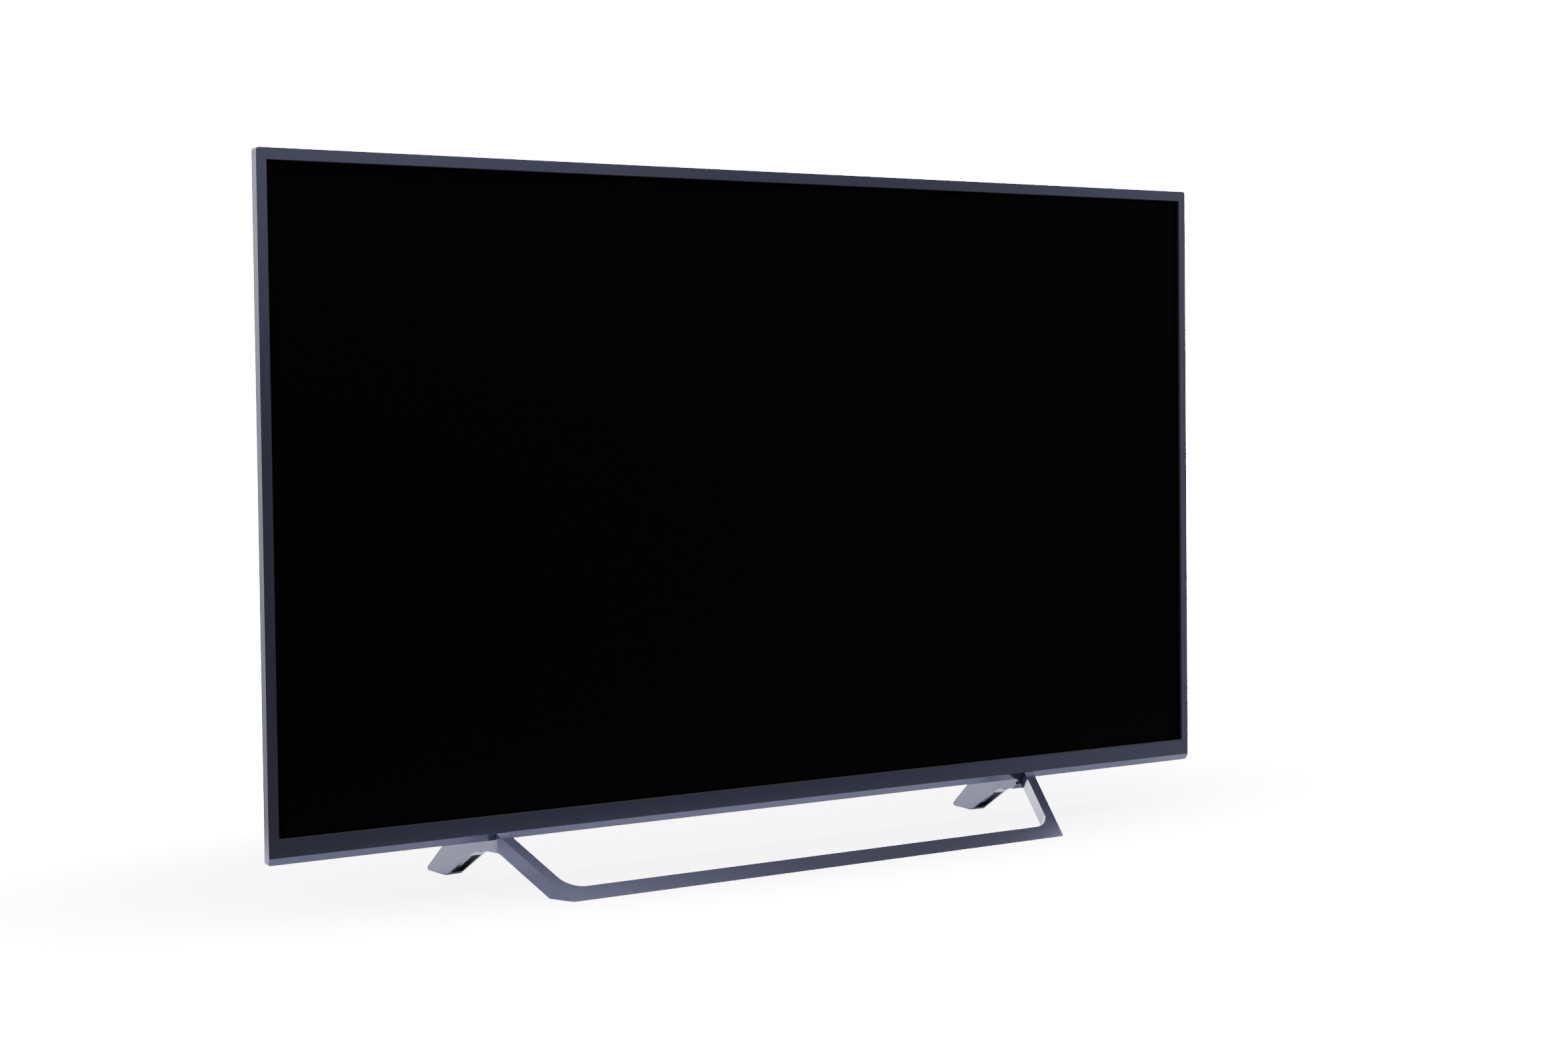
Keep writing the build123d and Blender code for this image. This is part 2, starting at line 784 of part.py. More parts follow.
# Sockets on the edge of the main board, which open into the side bay
panel_face = bay_end - cover_wall
socket_mouth = panel_face + cover_wall / 2
socket_length = 14.0
socket_wall = 0.9
hdmi_width = 15.2
hdmi_height = 7.4
usb_width = 14.4
usb_height = 7.8
jack_size = 9.0
jack_bore = 4.4
side_window_bottom = side_bay_bottom + window_margin
side_window_height = side_bay_height - 2 * window_margin
side_sockets = {
    "hdmi_sockets": (hdmi_width, hdmi_height, (0.12, 0.32)),
    "usb_sockets": (usb_width, usb_height, (0.54, 0.74)),
    "headphone_socket": (jack_size, jack_size, (0.92,)),
}


def socket_middle(share, height):
    """Centre of a side socket: its depth, on the board, and its place in the window."""
    return (board_back + height / 2, side_window_bottom + share * side_window_height)


for name, (width, height, shares) in side_sockets.items():
    with BuildPart() as sockets:
        places = [socket_middle(share, height) for share in shares]
        with BuildSketch(side_plane(-socket_mouth)):
            with Locations(*places):
                Rectangle(height, width)
        extrude(amount=socket_length)
        with BuildSketch(side_plane(-socket_mouth)):
            with Locations(*places):
                if name == "headphone_socket":
                    Circle(jack_bore / 2)
                else:
                    Rectangle(height - 2 * socket_wall, width - 2 * socket_wall)
        extrude(amount=socket_length - socket_wall, mode=Mode.SUBTRACT)
    keep(sockets.part, name)

with BuildPart() as side_terminal_panel:
    with BuildSketch(side_plane(-panel_face)):
        with Locations(((board_back + side_window_top) / 2, side_window_bottom + side_window_height / 2)):
            Rectangle(side_window_top - board_back + 2 * overrun, side_window_height + 2 * overrun)
        for width, height, shares in side_sockets.values():
            with Locations(*[socket_middle(share, height) for share in shares]):
                Rectangle(height + 2 * slide_gap, width + 2 * slide_gap, mode=Mode.SUBTRACT)
    extrude(amount=panel_thick)
keep(side_terminal_panel.part, "side_terminal_panel")

# Sockets that stand on the main board and open into the rear bay
rear_panel_front = rear_bay_floor - cover_wall - panel_thick
tower_rise = rear_bay_floor - fit_gap - board_back
tower_row = rear_bay_bottom + rear_bay_height / 2
rear_window_left = rear_bay_middle - rear_bay_width / 2
ethernet_size = 16.0
ethernet_mouth = 12.0
ethernet_mouth_height = 8.6
coax_radius = 5.0
coax_bore = 3.8
coax_pin = 0.9
phono_radius = 4.8
phono_bore = 2.2
mouth_depth = 10.0
ethernet_share = 0.16
coax_share = 0.86
phono_shares = (0.36, 0.48, 0.6)


def rear_place(share):
    """A place along the rear bay's window, as a share of the bay's width."""
    return (rear_window_left + share * rear_bay_width, tower_row)


with BuildPart() as ethernet_socket:
    with BuildSketch(plane_at(board_back)):
        with Locations(rear_place(ethernet_share)):
            Rectangle(ethernet_size, ethernet_size)
    extrude(amount=-tower_rise)
    with BuildSketch(plane_at(board_back + tower_rise - mouth_depth)):
        with Locations(rear_place(ethernet_share)):
            Rectangle(ethernet_mouth, ethernet_mouth_height)
    extrude(amount=-2 * mouth_depth, mode=Mode.SUBTRACT)
keep(ethernet_socket.part, "ethernet_socket")

with BuildPart() as antenna_socket:
    with BuildSketch(plane_at(board_back)):
        with Locations(rear_place(coax_share)):
            Circle(coax_radius)
    extrude(amount=-tower_rise)
    with BuildSketch(plane_at(board_back + tower_rise - mouth_depth)):
        with Locations(rear_place(coax_share)):
            Circle(coax_bore)
            Circle(coax_pin, mode=Mode.SUBTRACT)
    extrude(amount=-2 * mouth_depth, mode=Mode.SUBTRACT)
keep(antenna_socket.part, "antenna_socket")

with BuildPart() as video_jacks:
    with BuildSketch(plane_at(board_back)):
        with Locations(*[rear_place(share) for share in phono_shares]):
            Circle(phono_radius)
    extrude(amount=-tower_rise)
    with BuildSketch(plane_at(board_back + tower_rise - mouth_depth)):
        with Locations(*[rear_place(share) for share in phono_shares]):
            Circle(phono_bore)
    extrude(amount=-2 * mouth_depth, mode=Mode.SUBTRACT)
keep(video_jacks.part, "video_jacks")

with BuildPart() as rear_terminal_panel:
    with BuildSketch(plane_at(rear_panel_front)):
        with Locations((rear_bay_middle, tower_row)):
            Rectangle(
                rear_bay_width - 2 * window_margin + 2 * overrun,
                rear_bay_height - window_margin + 2 * overrun,
            )
        with Locations(rear_place(ethernet_share)):
            Rectangle(ethernet_size + 2 * slide_gap, ethernet_size + 2 * slide_gap, mode=Mode.SUBTRACT)
        with Locations(rear_place(coax_share)):
            Circle(coax_radius + slide_gap, mode=Mode.SUBTRACT)
        with Locations(*[rear_place(share) for share in phono_shares]):
            Circle(phono_radius + slide_gap, mode=Mode.SUBTRACT)
    extrude(amount=-panel_thick)
keep(rear_terminal_panel.part, "rear_terminal_panel")

# Two pin mains inlet on the edge of the power board, behind its own flange
inlet_width = 30.0
inlet_height = 16.0
inlet_length = 22.0
inlet_mouth = 20.0
inlet_mouth_height = 9.0
inlet_mouth_depth = 14.0
pin_radius = 1.2
pin_pitch = 8.6
inlet_row = inlet_bay_bottom + inlet_bay_height / 2
with BuildPart() as ac_inlet:
    with BuildSketch(side_plane(panel_face - panel_thick)):
        with Locations(((board_back + side_window_top) / 2, inlet_row)):
            Rectangle(side_window_top - board_back + 2 * overrun, inlet_bay_height + 2 * overrun)
    extrude(amount=panel_thick)
    with BuildSketch(side_plane(socket_mouth - inlet_length)):
        with Locations((board_back + inlet_height / 2, inlet_row)):
            Rectangle(inlet_height, inlet_width)
    extrude(amount=inlet_length)
    with BuildSketch(side_plane(socket_mouth - inlet_mouth_depth)):
        with Locations((board_back + inlet_height / 2, inlet_row)):
            SlotOverall(inlet_mouth, inlet_mouth_height, rotation=90)
            with GridLocations(pin_pitch, pin_pitch, 1, 2):
                Circle(pin_radius, mode=Mode.SUBTRACT)
    extrude(amount=2 * inlet_mouth_depth, mode=Mode.SUBTRACT)
keep(ac_inlet.part, "ac_inlet")

# Speakers: a closed box each, with a driver that fires down, and a moving cone
driver_depth = chassis_back + speaker_depth / 2
basket_foot = speaker_bottom + speaker_wall
basket_top = speaker_bottom + basket_height
magnet_top = basket_top + magnet_height
groove_inner = coil_radius - coil_play
groove_outer = coil_radius + coil_wall + coil_play
groove_top = magnet_top - speaker_wall
basket_inner = driver_radius - basket_wall
basket_neck = magnet_radius - basket_wall
cone_lip = speaker_bottom + 2 * cone_travel
cone_edge = basket_inner - cone_travel
cone_neck = cone_lip + basket_height / 2
coil_end = groove_top - cone_travel - coil_play
for side, side_name in ((-1, "left"), (1, "right")):
    with BuildPart() as speaker_box:
        with BuildSketch(plane_at(chassis_back)):
            with Locations((side * speaker_centre, (speaker_bottom + speaker_top) / 2)):
                RectangleRounded(speaker_width, speaker_height, 2 * speaker_wall)
        extrude(amount=-speaker_depth)
        with BuildSketch(plane_at(chassis_back + speaker_wall)):
            with Locations((side * speaker_centre, (speaker_bottom + speaker_top) / 2)):
                RectangleRounded(
                    speaker_width - 2 * speaker_wall, speaker_height - 2 * speaker_wall, speaker_wall
                )
        extrude(amount=-(speaker_depth - 2 * speaker_wall), mode=Mode.SUBTRACT)
        with BuildSketch(Plane.XY.offset(speaker_bottom - overrun)):
            with Locations((side * speaker_centre, face_y + driver_depth)):
                Circle(driver_radius)
        extrude(amount=speaker_wall + overrun, mode=Mode.SUBTRACT)
    keep(speaker_box.part, f"{side_name}_speaker_box")

    driver_axis = Plane(
        origin=(side * speaker_centre, face_y + driver_depth, 0), x_dir=(1, 0, 0), z_dir=(0, -1, 0)
    )
    spin = Axis(driver_axis.origin, (0, 0, 1))
    with BuildPart() as speaker_driver:
        with BuildSketch(driver_axis):
            Polygon(
                (basket_inner, speaker_bottom),
                (driver_radius, speaker_bottom),
                (driver_radius, basket_foot),
                (magnet_radius, basket_top),
                (magnet_radius, magnet_top),
                (0, magnet_top),
                (0, basket_top),
                (groove_inner, basket_top),
                (groove_inner, groove_top),
                (groove_outer, groove_top),
                (groove_outer, basket_top),
                (basket_neck, basket_top),
                (basket_inner, basket_foot),
                align=None,
            )
        revolve(axis=spin)
    keep(speaker_driver.part, f"{side_name}_speaker_driver")

    with BuildPart() as speaker_cone:
        with BuildSketch(driver_axis):
            Polygon(
                (cone_edge, cone_lip),
                (cone_edge, cone_lip + cone_wall),
                (coil_radius + coil_wall, cone_neck + cone_wall),
                (coil_radius + coil_wall, coil_end),
                (coil_radius, coil_end),
                (coil_radius, cone_neck + cone_wall),
                (0, cone_neck + cone_wall),
                (0, cone_neck),
                (coil_radius + coil_wall / 2, cone_neck),
                align=None,
            )
        revolve(axis=spin)
    keep(speaker_cone.part, f"{side_name}_speaker_cone")

# Key board with its switches, and the six keys that press them from behind
switch_back = key_board_depth + board_thick + switch_rise
with BuildPart() as key_board:
    with BuildSketch(plane_at(key_board_depth)):
        with Locations((key_centre, (key_board_bottom + key_board_top) / 2)):
            Rectangle(key_board_width, key_board_top - key_board_bottom)
    extrude(amount=-board_thick)
    with BuildSketch(plane_at(key_board_depth + board_thick)):
        with Locations(*[(key_centre, height) for height in key_heights]):
            Rectangle(switch_size, switch_size)
    extrude(amount=-switch_rise)
keep(key_board.part, "key_board")

cover_inside = slim_depth - cover_wall
flange_back = cover_inside - slide_gap / 2
flange_front = flange_back - key_flange_thick
stem_front = switch_back + key_travel + slide_gap / 5
key_names = ("input", "volume_down", "volume_up", "channel_down", "channel_up", "power")
for key_name, height in zip(key_names, key_heights):
    with BuildPart() as key:
        with BuildSketch(plane_at(stem_front)):
            with Locations((key_centre, height)):
                Rectangle(key_stem, key_stem)
        extrude(amount=-(flange_front - stem_front))
        with BuildSketch(plane_at(flange_front)):
            with Locations((key_centre, height)):
                Rectangle(key_width + 2 * key_flange, key_height + 2 * key_flange)
        extrude(amount=-key_flange_thick)
        with BuildSketch(plane_at(flange_back)):
            with Locations((key_centre, height)):
                RectangleRounded(key_width, key_height, key_height / 3)
        extrude(amount=-(slim_depth + key_proud - flange_back))
        fillet(key.faces().sort_by(Axis.Y)[-1].edges(), radius=bezel_edge)
    keep(key.part, f"{key_name}_key")

# Infra-red receiver: a dark lens in the underside of the bezel and its small board
lens_top = set_bottom + bezel_wall
with BuildPart() as sensor_lens:
    with BuildSketch(Plane.XY.offset(set_bottom)):
        with Locations((0, face_y + lens_front + lens_depth / 2)):
            Rectangle(lens_width, lens_depth)
    extrude(amount=bezel_wall)
keep(sensor_lens.part, "sensor_lens")

with BuildPart() as sensor_board:
    with BuildSketch(Plane.XY.offset(lens_top)):
        with Locations((0, face_y + lens_front + lens_depth / 2)):
            Rectangle(receiver_width, receiver_depth)
    extrude(amount=receiver_thick)
    with BuildSketch(Plane.XY.offset(lens_top + receiver_thick)):
        with Locations((0, face_y + lens_front + lens_depth / 2)):
            Rectangle(lens_depth, lens_depth)
    extrude(amount=receiver_thick)
keep(sensor_board.part, "sensor_board")

# Wireless module under its screening can, high on the chassis
wifi_width = 46.0
wifi_height = 30.0
wifi_can = 2.4
wifi_place = (-screw_column + wifi_width, side_bay_bottom + side_bay_height + 2 * wifi_height)
with BuildPart() as wifi_module:
    with BuildSketch(plane_at(chassis_back)):
        with Locations(wifi_place):
            Rectangle(wifi_width, wifi_height)
    extrude(amount=-board_thick)
    with BuildSketch(plane_at(chassis_back + board_thick)):
        with Locations(wifi_place):
            RectangleRounded(wifi_width / 2, wifi_height * core_share, board_thick)
    extrude(amount=-wifi_can)
keep(wifi_module.part, "wifi_module")

# Stand: the loop's face rises from the floor to the chamfer's front edge
sole = pad_thick - pad_sunk
loop_rise = set_bottom + chamfer_height - sole
loop_length = (bar_reach**2 + loop_rise**2) ** 0.5
rise_cos = bar_reach / loop_length
rise_sin = loop_rise / loop_length
leg_end = loop_length - fit_gap
loop_flare = 3.6
loop_foot = leg_outer - leg_pinch
loop_plane = Plane(
    origin=(0, face_y - bar_reach, sole), x_dir=(1, 0, 0), z_dir=(0, -rise_sin, rise_cos)
)
loop_back = loop_plane.offset(-loop_thick)
splay_sin = sin(radians(leg_splay))
splay_cos = cos(radians(leg_splay))


def leg_plane(side, inset=0.0):
    """The plane of a leg's outer side, or one further in: X is the depth, Y the height."""
    outer_plane = Plane(
        origin=(side * leg_outer, face_y, 0),
        x_dir=(side * splay_sin, splay_cos, 0),
        z_dir=(splay_cos, -side * splay_sin, 0),
    )
    return outer_plane.offset(-side * inset)


def loop_point(along, below=0.0):
    """Depth and height of a point on the loop's face, or below it through its metal."""
    return (
        -bar_reach + along * rise_cos + below * rise_sin,
        sole + along * rise_sin - below * rise_cos,
    )


with BuildPart() as stand_loop:
    with BuildSketch(loop_plane):
        Polygon(
            (-loop_foot, 0), (loop_foot, 0), (leg_outer, leg_end), (-leg_outer, leg_end), align=None
        )
    with BuildSketch(loop_back):
        Polygon(
            (-loop_foot - loop_flare, 0),
            (loop_foot + loop_flare, 0),
            (leg_outer + loop_flare, leg_end),
            (-leg_outer - loop_flare, leg_end),
            align=None,
        )
    loft(ruled=True)
    heels = stand_loop.edges().filter_by(
        lambda edge: abs(edge.center().Z - sole + loop_thick * rise_cos / 2) < bezel_edge
    )
    fillet(heels, radius=loop_heel_round)
    with BuildSketch(loop_plane.offset(overrun)) as loop_hole:
        slant = (leg_end + overrun - loop_bar_width) / leg_end * leg_pinch
        hole_foot = leg_outer - loop_leg_width - slant
        Polygon(
            (-hole_foot, loop_bar_width),
            (hole_foot, loop_bar_width),
            (leg_outer - loop_leg_width, leg_end + overrun),
            (-leg_outer + loop_leg_width, leg_end + overrun),
            align=None,
        )
        fillet(loop_hole.vertices().group_by(Axis.Y)[0], radius=loop_corner)
    extrude(amount=-(loop_thick + 2 * overrun), mode=Mode.SUBTRACT)
    with BuildSketch(Plane.XY.offset(sole)):
        with Locations((0, face_y - bar_reach / 2)):
            Rectangle(2 * set_width, 2 * bar_reach)
    extrude(amount=-2 * loop_thick, mode=Mode.SUBTRACT)
    for side in (-1, 1):
        with BuildSketch(leg_plane(side)):
            with Locations((0, floor_gap)):
                Rectangle(2 * bar_reach, 2 * floor_gap)
        extrude(amount=side * leg_width, mode=Mode.SUBTRACT)

# A leg seen from the side: an arch under the set that runs back and down to its foot
arch_front_height = 36.0
knee_reach = 39.0
knee_height = 34.6
knee_round = 80.0
ankle_reach = 80.0
heel_round = 2.5
block_reach = 13.0
seam_reach = 26.2
channel_start = 6.0
channel_end = 50.0
channel_deep = 3.0
bolt_seat = 3.6
leg_screw_along = 42.0
leg_screw_head = 5.0
leg_screw_head_height = 1.4
leg_screw_socket = 1.1
leg_screw_shank = 3.0
leg_screw_length = 9.0
leg_screw_sunk = 2.0
leg_body_width = leg_width - inner_cover_thick
arch_along = (arch_front_height - sole + loop_thick * rise_cos) / rise_sin
seat_below = (sole + leg_end * rise_sin - floor_gap) / rise_cos
heel_half = atan2(floor_gap - sole, heel_reach - ankle_reach) / 2
heel_corner = heel_reach + heel_round / tan(heel_half) - heel_round
rear_slope = (heel_corner - ankle_reach) / (floor_gap - sole)
underside_rise = knee_height - sole
underside_length = (underside_rise**2 + (toe_reach - knee_reach) ** 2) ** 0.5
underside_sin = underside_rise / underside_length
underside_cos = (toe_reach - knee_reach) / underside_length


def draw_leg(sketch):
    """Draw a leg's side in the open sketch: arch, knee, toe, heel and the flat top."""
    Polygon(
        loop_point(arch_along, loop_thick),
        loop_point(leg_end, loop_thick),
        loop_point(leg_end, seat_below),
        (ankle_reach, floor_gap),
        (heel_corner, sole),
        (toe_reach, sole),
        (knee_reach, knee_height),
        align=None,
    )
    fillet(sketch.vertices().sort_by_distance((knee_reach, knee_height))[0], radius=knee_round)
    fillet(sketch.vertices().sort_by(Axis.X)[-1], radius=heel_round)


def slanted(reach, height, far):
    """All of a leg's side that lies ahead of, or behind, a line parallel to its rear edge."""
    return Polygon(
        (reach - (floor_gap - height + overrun) * rear_slope, floor_gap + overrun),
        (reach + height * rear_slope, 0),
        (far, 0),
        (far, floor_gap + overrun),
        align=None,
    )


def underside_point(along, into):
    """A point at a distance from the toe along a leg's underside, and into its metal."""
    return (
        toe_reach - along * underside_cos + into * underside_sin,
        sole + along * underside_sin + into * underside_cos,
    )


def leg_screw_plane(side, into):
    """The plane of the screw in a leg's underside, at a distance into the leg."""
    middle = leg_plane(side, leg_width / 2)
    origin = middle.from_local_coords((*underside_point(leg_screw_along, into), 0))
    outer = middle.from_local_coords((*underside_point(leg_screw_along, into - overrun), 0))
    return Plane(origin=origin, x_dir=middle.z_dir, z_dir=outer - origin)


def pad_places():
    """Centres of the four pads: two under the bar, and one under each rear foot."""
    bar_depth = -bar_reach + loop_bar_width / 2 + pad_thick
    heel_depth = (heel_reach + toe_reach) / 2
    foot_x = leg_outer + tan(radians(leg_splay)) * heel_depth - leg_width / 2
    bar_x = loop_foot - pad_length
    return [(side * bar_x, face_y + bar_depth, pad_length, pad_width) for side in (-1, 1)] + [
        (side * foot_x, face_y + heel_depth, pad_width, heel_pad_length) for side in (-1, 1)
    ]


def pads(top):
    """The four pads, from the floor up to a height."""
    with BuildPart() as piece:
        with BuildSketch():
            for x, y, length, width in pad_places():
                with Locations((x, y)):
                    RectangleRounded(length, width, pad_width / 4)
        extrude(amount=top)
    return piece.part


with BuildPart() as padded_loop:
    add(stand_loop.part)
    add(pads(pad_thick), mode=Mode.SUBTRACT)
keep(padded_loop.part, "stand_loop")
keep(pads(pad_thick), "stand_pads")

bolt_low = floor_gap - bolt_seat
for side, side_name in ((-1, "left"), (1, "right")):
    with BuildPart() as stand_leg:
        with BuildSketch(leg_plane(side)) as leg_side:
            draw_leg(leg_side)
        extrude(amount=-side * leg_width)
        with BuildSketch(leg_plane(side, leg_body_width)):
            slanted(seam_reach, floor_gap, heel_corner + overrun)
        extrude(amount=-side * leg_width, mode=Mode.SUBTRACT)
        with BuildSketch(leg_plane(side, leg_shell)):
            slanted(block_reach, arch_front_height, -bar_reach)
        extrude(amount=-side * leg_width, mode=Mode.SUBTRACT)
        with BuildSketch(leg_plane(side, leg_wall)):
            Polygon(
                underside_point(channel_start, -channel_deep),
                underside_point(channel_start, channel_deep),
                underside_point(channel_end, channel_deep),
                underside_point(channel_end, -channel_deep),
                align=None,
            )
        extrude(amount=-side * leg_width, mode=Mode.SUBTRACT)
        with BuildSketch(leg_screw_plane(side, channel_deep + leg_screw_sunk)):
            Circle(leg_screw_head / 2 + slide_gap)
        extrude(amount=leg_screw_sunk + overrun, mode=Mode.SUBTRACT)
        with BuildSketch(leg_screw_plane(side, channel_deep)):
            Circle(leg_screw_shank / 2)
        extrude(amount=-(leg_screw_sunk + leg_screw_length), mode=Mode.SUBTRACT)
        with BuildSketch():
            with Locations((side * neck_middle, face_y + blade_depth)):
                Circle(bolt_head / 2 + slide_gap)
        extrude(amount=bolt_low, mode=Mode.SUBTRACT)
        with BuildSketch():
            with Locations((side * neck_middle, face_y + blade_depth)):
                Circle(bolt_bore / 2)
        extrude(amount=floor_gap + overrun, mode=Mode.SUBTRACT)
        add(pads(pad_thick), mode=Mode.SUBTRACT)
    keep(stand_leg.part, f"{side_name}_stand_leg")

    with BuildPart() as leg_cover:
        with BuildSketch(leg_plane(side, leg_body_width)) as cover_side:
            draw_leg(cover_side)
        extrude(amount=-side * inner_cover_thick)
        with BuildSketch(leg_plane(side)):
            slanted(seam_reach + fit_gap, floor_gap, -bar_reach)
        extrude(amount=-side * 2 * leg_width, mode=Mode.SUBTRACT)
    keep(leg_cover.part, f"{side_name}_leg_cover")

    with BuildPart() as neck_bracket:
        with BuildSketch(side_plane(side * neck_middle - neck_thick / 2)):
            Polygon(
                (neck_front, floor_gap),
                (neck_back, floor_gap),
                (neck_back, neck_top - neck_depth / 2),
                (neck_back - neck_depth / 2, neck_top),
                (chassis_back, neck_top),
                (chassis_back, neck_plate_bottom),
                (neck_front, neck_plate_bottom),
                align=None,
            )
        extrude(amount=neck_thick)
        with BuildSketch(plane_at(chassis_back)):
            with Locations((side * neck_middle, (neck_plate_bottom + neck_top) / 2)):
                RectangleRounded(neck_plate_width, neck_top - neck_plate_bottom, bolt_bore)
            with Locations(*neck_screws(side)):
                Circle(bolt_bore / 2, mode=Mode.SUBTRACT)
        extrude(amount=-neck_plate_thick)
        with BuildSketch(Plane.XY.offset(floor_gap)):
            with Locations((side * neck_middle, face_y + blade_depth)):
                Circle(bolt_bore / 2)
        extrude(amount=3 * bolt_bore, mode=Mode.SUBTRACT)
    keep(neck_bracket.part, f"{side_name}_neck_bracket")

with BuildPart() as stand_bolts:
    for side in (-1, 1):
        with BuildSketch(Plane.XY.offset(bolt_low - bolt_head_height)):
            with Locations((side * neck_middle, face_y + blade_depth)):
                Circle(bolt_head / 2)
                RegularPolygon(bolt_head / 5, 6, mode=Mode.SUBTRACT)
        extrude(amount=bolt_head_height)
        with BuildSketch(Plane.XY.offset(bolt_low)):
            with Locations((side * neck_middle, face_y + blade_depth)):
                Circle(bolt_shank / 2)
        extrude(amount=bolt_seat + 2 * bolt_bore)
        with BuildSketch(leg_screw_plane(side, channel_deep + leg_screw_sunk)):
            Circle(leg_screw_head / 2)
            RegularPolygon(leg_screw_socket, 6, mode=Mode.SUBTRACT)
        extrude(amount=leg_screw_head_height)
        with BuildSketch(leg_screw_plane(side, channel_deep + leg_screw_sunk)):
            Circle(leg_screw_shank / 2)
        extrude(amount=-leg_screw_length)
        with BuildSketch(plane_at(chassis_back + neck_plate_thick)):
            with Locations(*neck_screws(side)):
                Circle(bolt_head / 2)
        extrude(amount=-bolt_head_height)
        with BuildSketch(plane_at(chassis_front + film_thick)):
            with Locations(*neck_screws(side)):
                Circle(bolt_shank / 2)
        extrude(amount=-(chassis_back + neck_plate_thick - chassis_front))
keep(stand_bolts.part, "stand_bolts")
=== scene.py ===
# %% [markdown]
# # A flat screen television on its loop stand
# The television's real shapes come from the CAD model, which is loaded first and is
# never moved. This script gives every one of its pieces a finish, adds the small
# things that are too fine for the CAD model, and sets up the studio and the camera.

import json
import math

import bmesh
import bpy
from mathutils import Matrix, Vector


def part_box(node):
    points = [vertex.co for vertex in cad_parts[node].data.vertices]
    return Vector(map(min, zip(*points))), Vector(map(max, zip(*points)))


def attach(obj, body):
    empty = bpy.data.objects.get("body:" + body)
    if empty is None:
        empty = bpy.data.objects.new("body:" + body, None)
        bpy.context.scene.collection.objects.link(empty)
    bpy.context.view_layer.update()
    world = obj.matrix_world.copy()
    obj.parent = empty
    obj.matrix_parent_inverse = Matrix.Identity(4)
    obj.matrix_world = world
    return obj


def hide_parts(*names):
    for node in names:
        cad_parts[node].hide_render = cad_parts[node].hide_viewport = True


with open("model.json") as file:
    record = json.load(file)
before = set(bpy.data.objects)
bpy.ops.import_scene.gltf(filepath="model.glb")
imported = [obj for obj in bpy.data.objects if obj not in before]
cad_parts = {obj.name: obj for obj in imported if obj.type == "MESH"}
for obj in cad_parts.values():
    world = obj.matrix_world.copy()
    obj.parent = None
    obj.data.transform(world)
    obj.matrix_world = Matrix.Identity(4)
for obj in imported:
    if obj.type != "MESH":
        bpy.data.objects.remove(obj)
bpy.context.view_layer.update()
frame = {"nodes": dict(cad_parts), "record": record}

# %% [markdown]
# ## Wiring nodes in Python
# Both finishes and repeated pieces are node trees. Wiring them by hand takes many
# lines, so one class holds a tree and makes its nodes, and another wraps a socket so
# that Python's own operators add Math nodes. An expression then reads as a sum.


# %% A socket that sums can be done on, and a tree that makes nodes
class Socket:
    """An output of a node. Sums with it add Math nodes to its tree."""

    def __init__(self, graph, socket):
        self.graph = graph
        self.socket = socket

    def worked(self, operation, first, second):
        return self.graph.node("ShaderNodeMath", {"operation": operation}, {0: first, 1: second})

    def __add__(self, other):
        return self.worked("ADD", self, other)

    def __radd__(self, other):
        return self.worked("ADD", other, self)

    def __sub__(self, other):
        return self.worked("SUBTRACT", self, other)

    def __rsub__(self, other):
        return self.worked("SUBTRACT", other, self)

    def __mul__(self, other):
        return self.worked("MULTIPLY", self, other)

    def __rmul__(self, other):
        return self.worked("MULTIPLY", other, self)

    def __truediv__(self, other):
        return self.worked("DIVIDE", self, other)

    def __gt__(self, other):
        return self.worked("GREATER_THAN", self, other)


class Graph:
    """A node tree that is wired by calling node() and by doing sums on what it gives."""

    def __init__(self, tree):
        self.tree = tree

    def feed(self, target, value):
        if isinstance(value, Socket):
            self.tree.links.new(value.socket, target)
        else:
            target.default_value = value

    def node(self, kind, settings=(), sockets=(), output=0):
        made = self.tree.nodes.new(kind)
        for name, value in dict(settings).items():
            setattr(made, name, value)
        for key, value in dict(sockets).items():
            self.feed(made.inputs[key], value)
        return Socket(self, made.outputs[output])


# %% [markdown]
# ## Finishes
# A real finish is never one flat colour. Paint has flakes and a slight orange peel,
# moulded plastic carries the grain of its mould, and metal shows how it was worked.
# Each finish here starts from fixed values on the shader's own sockets, and noise in
# the piece's own coordinates then changes its colour, roughness and surface.


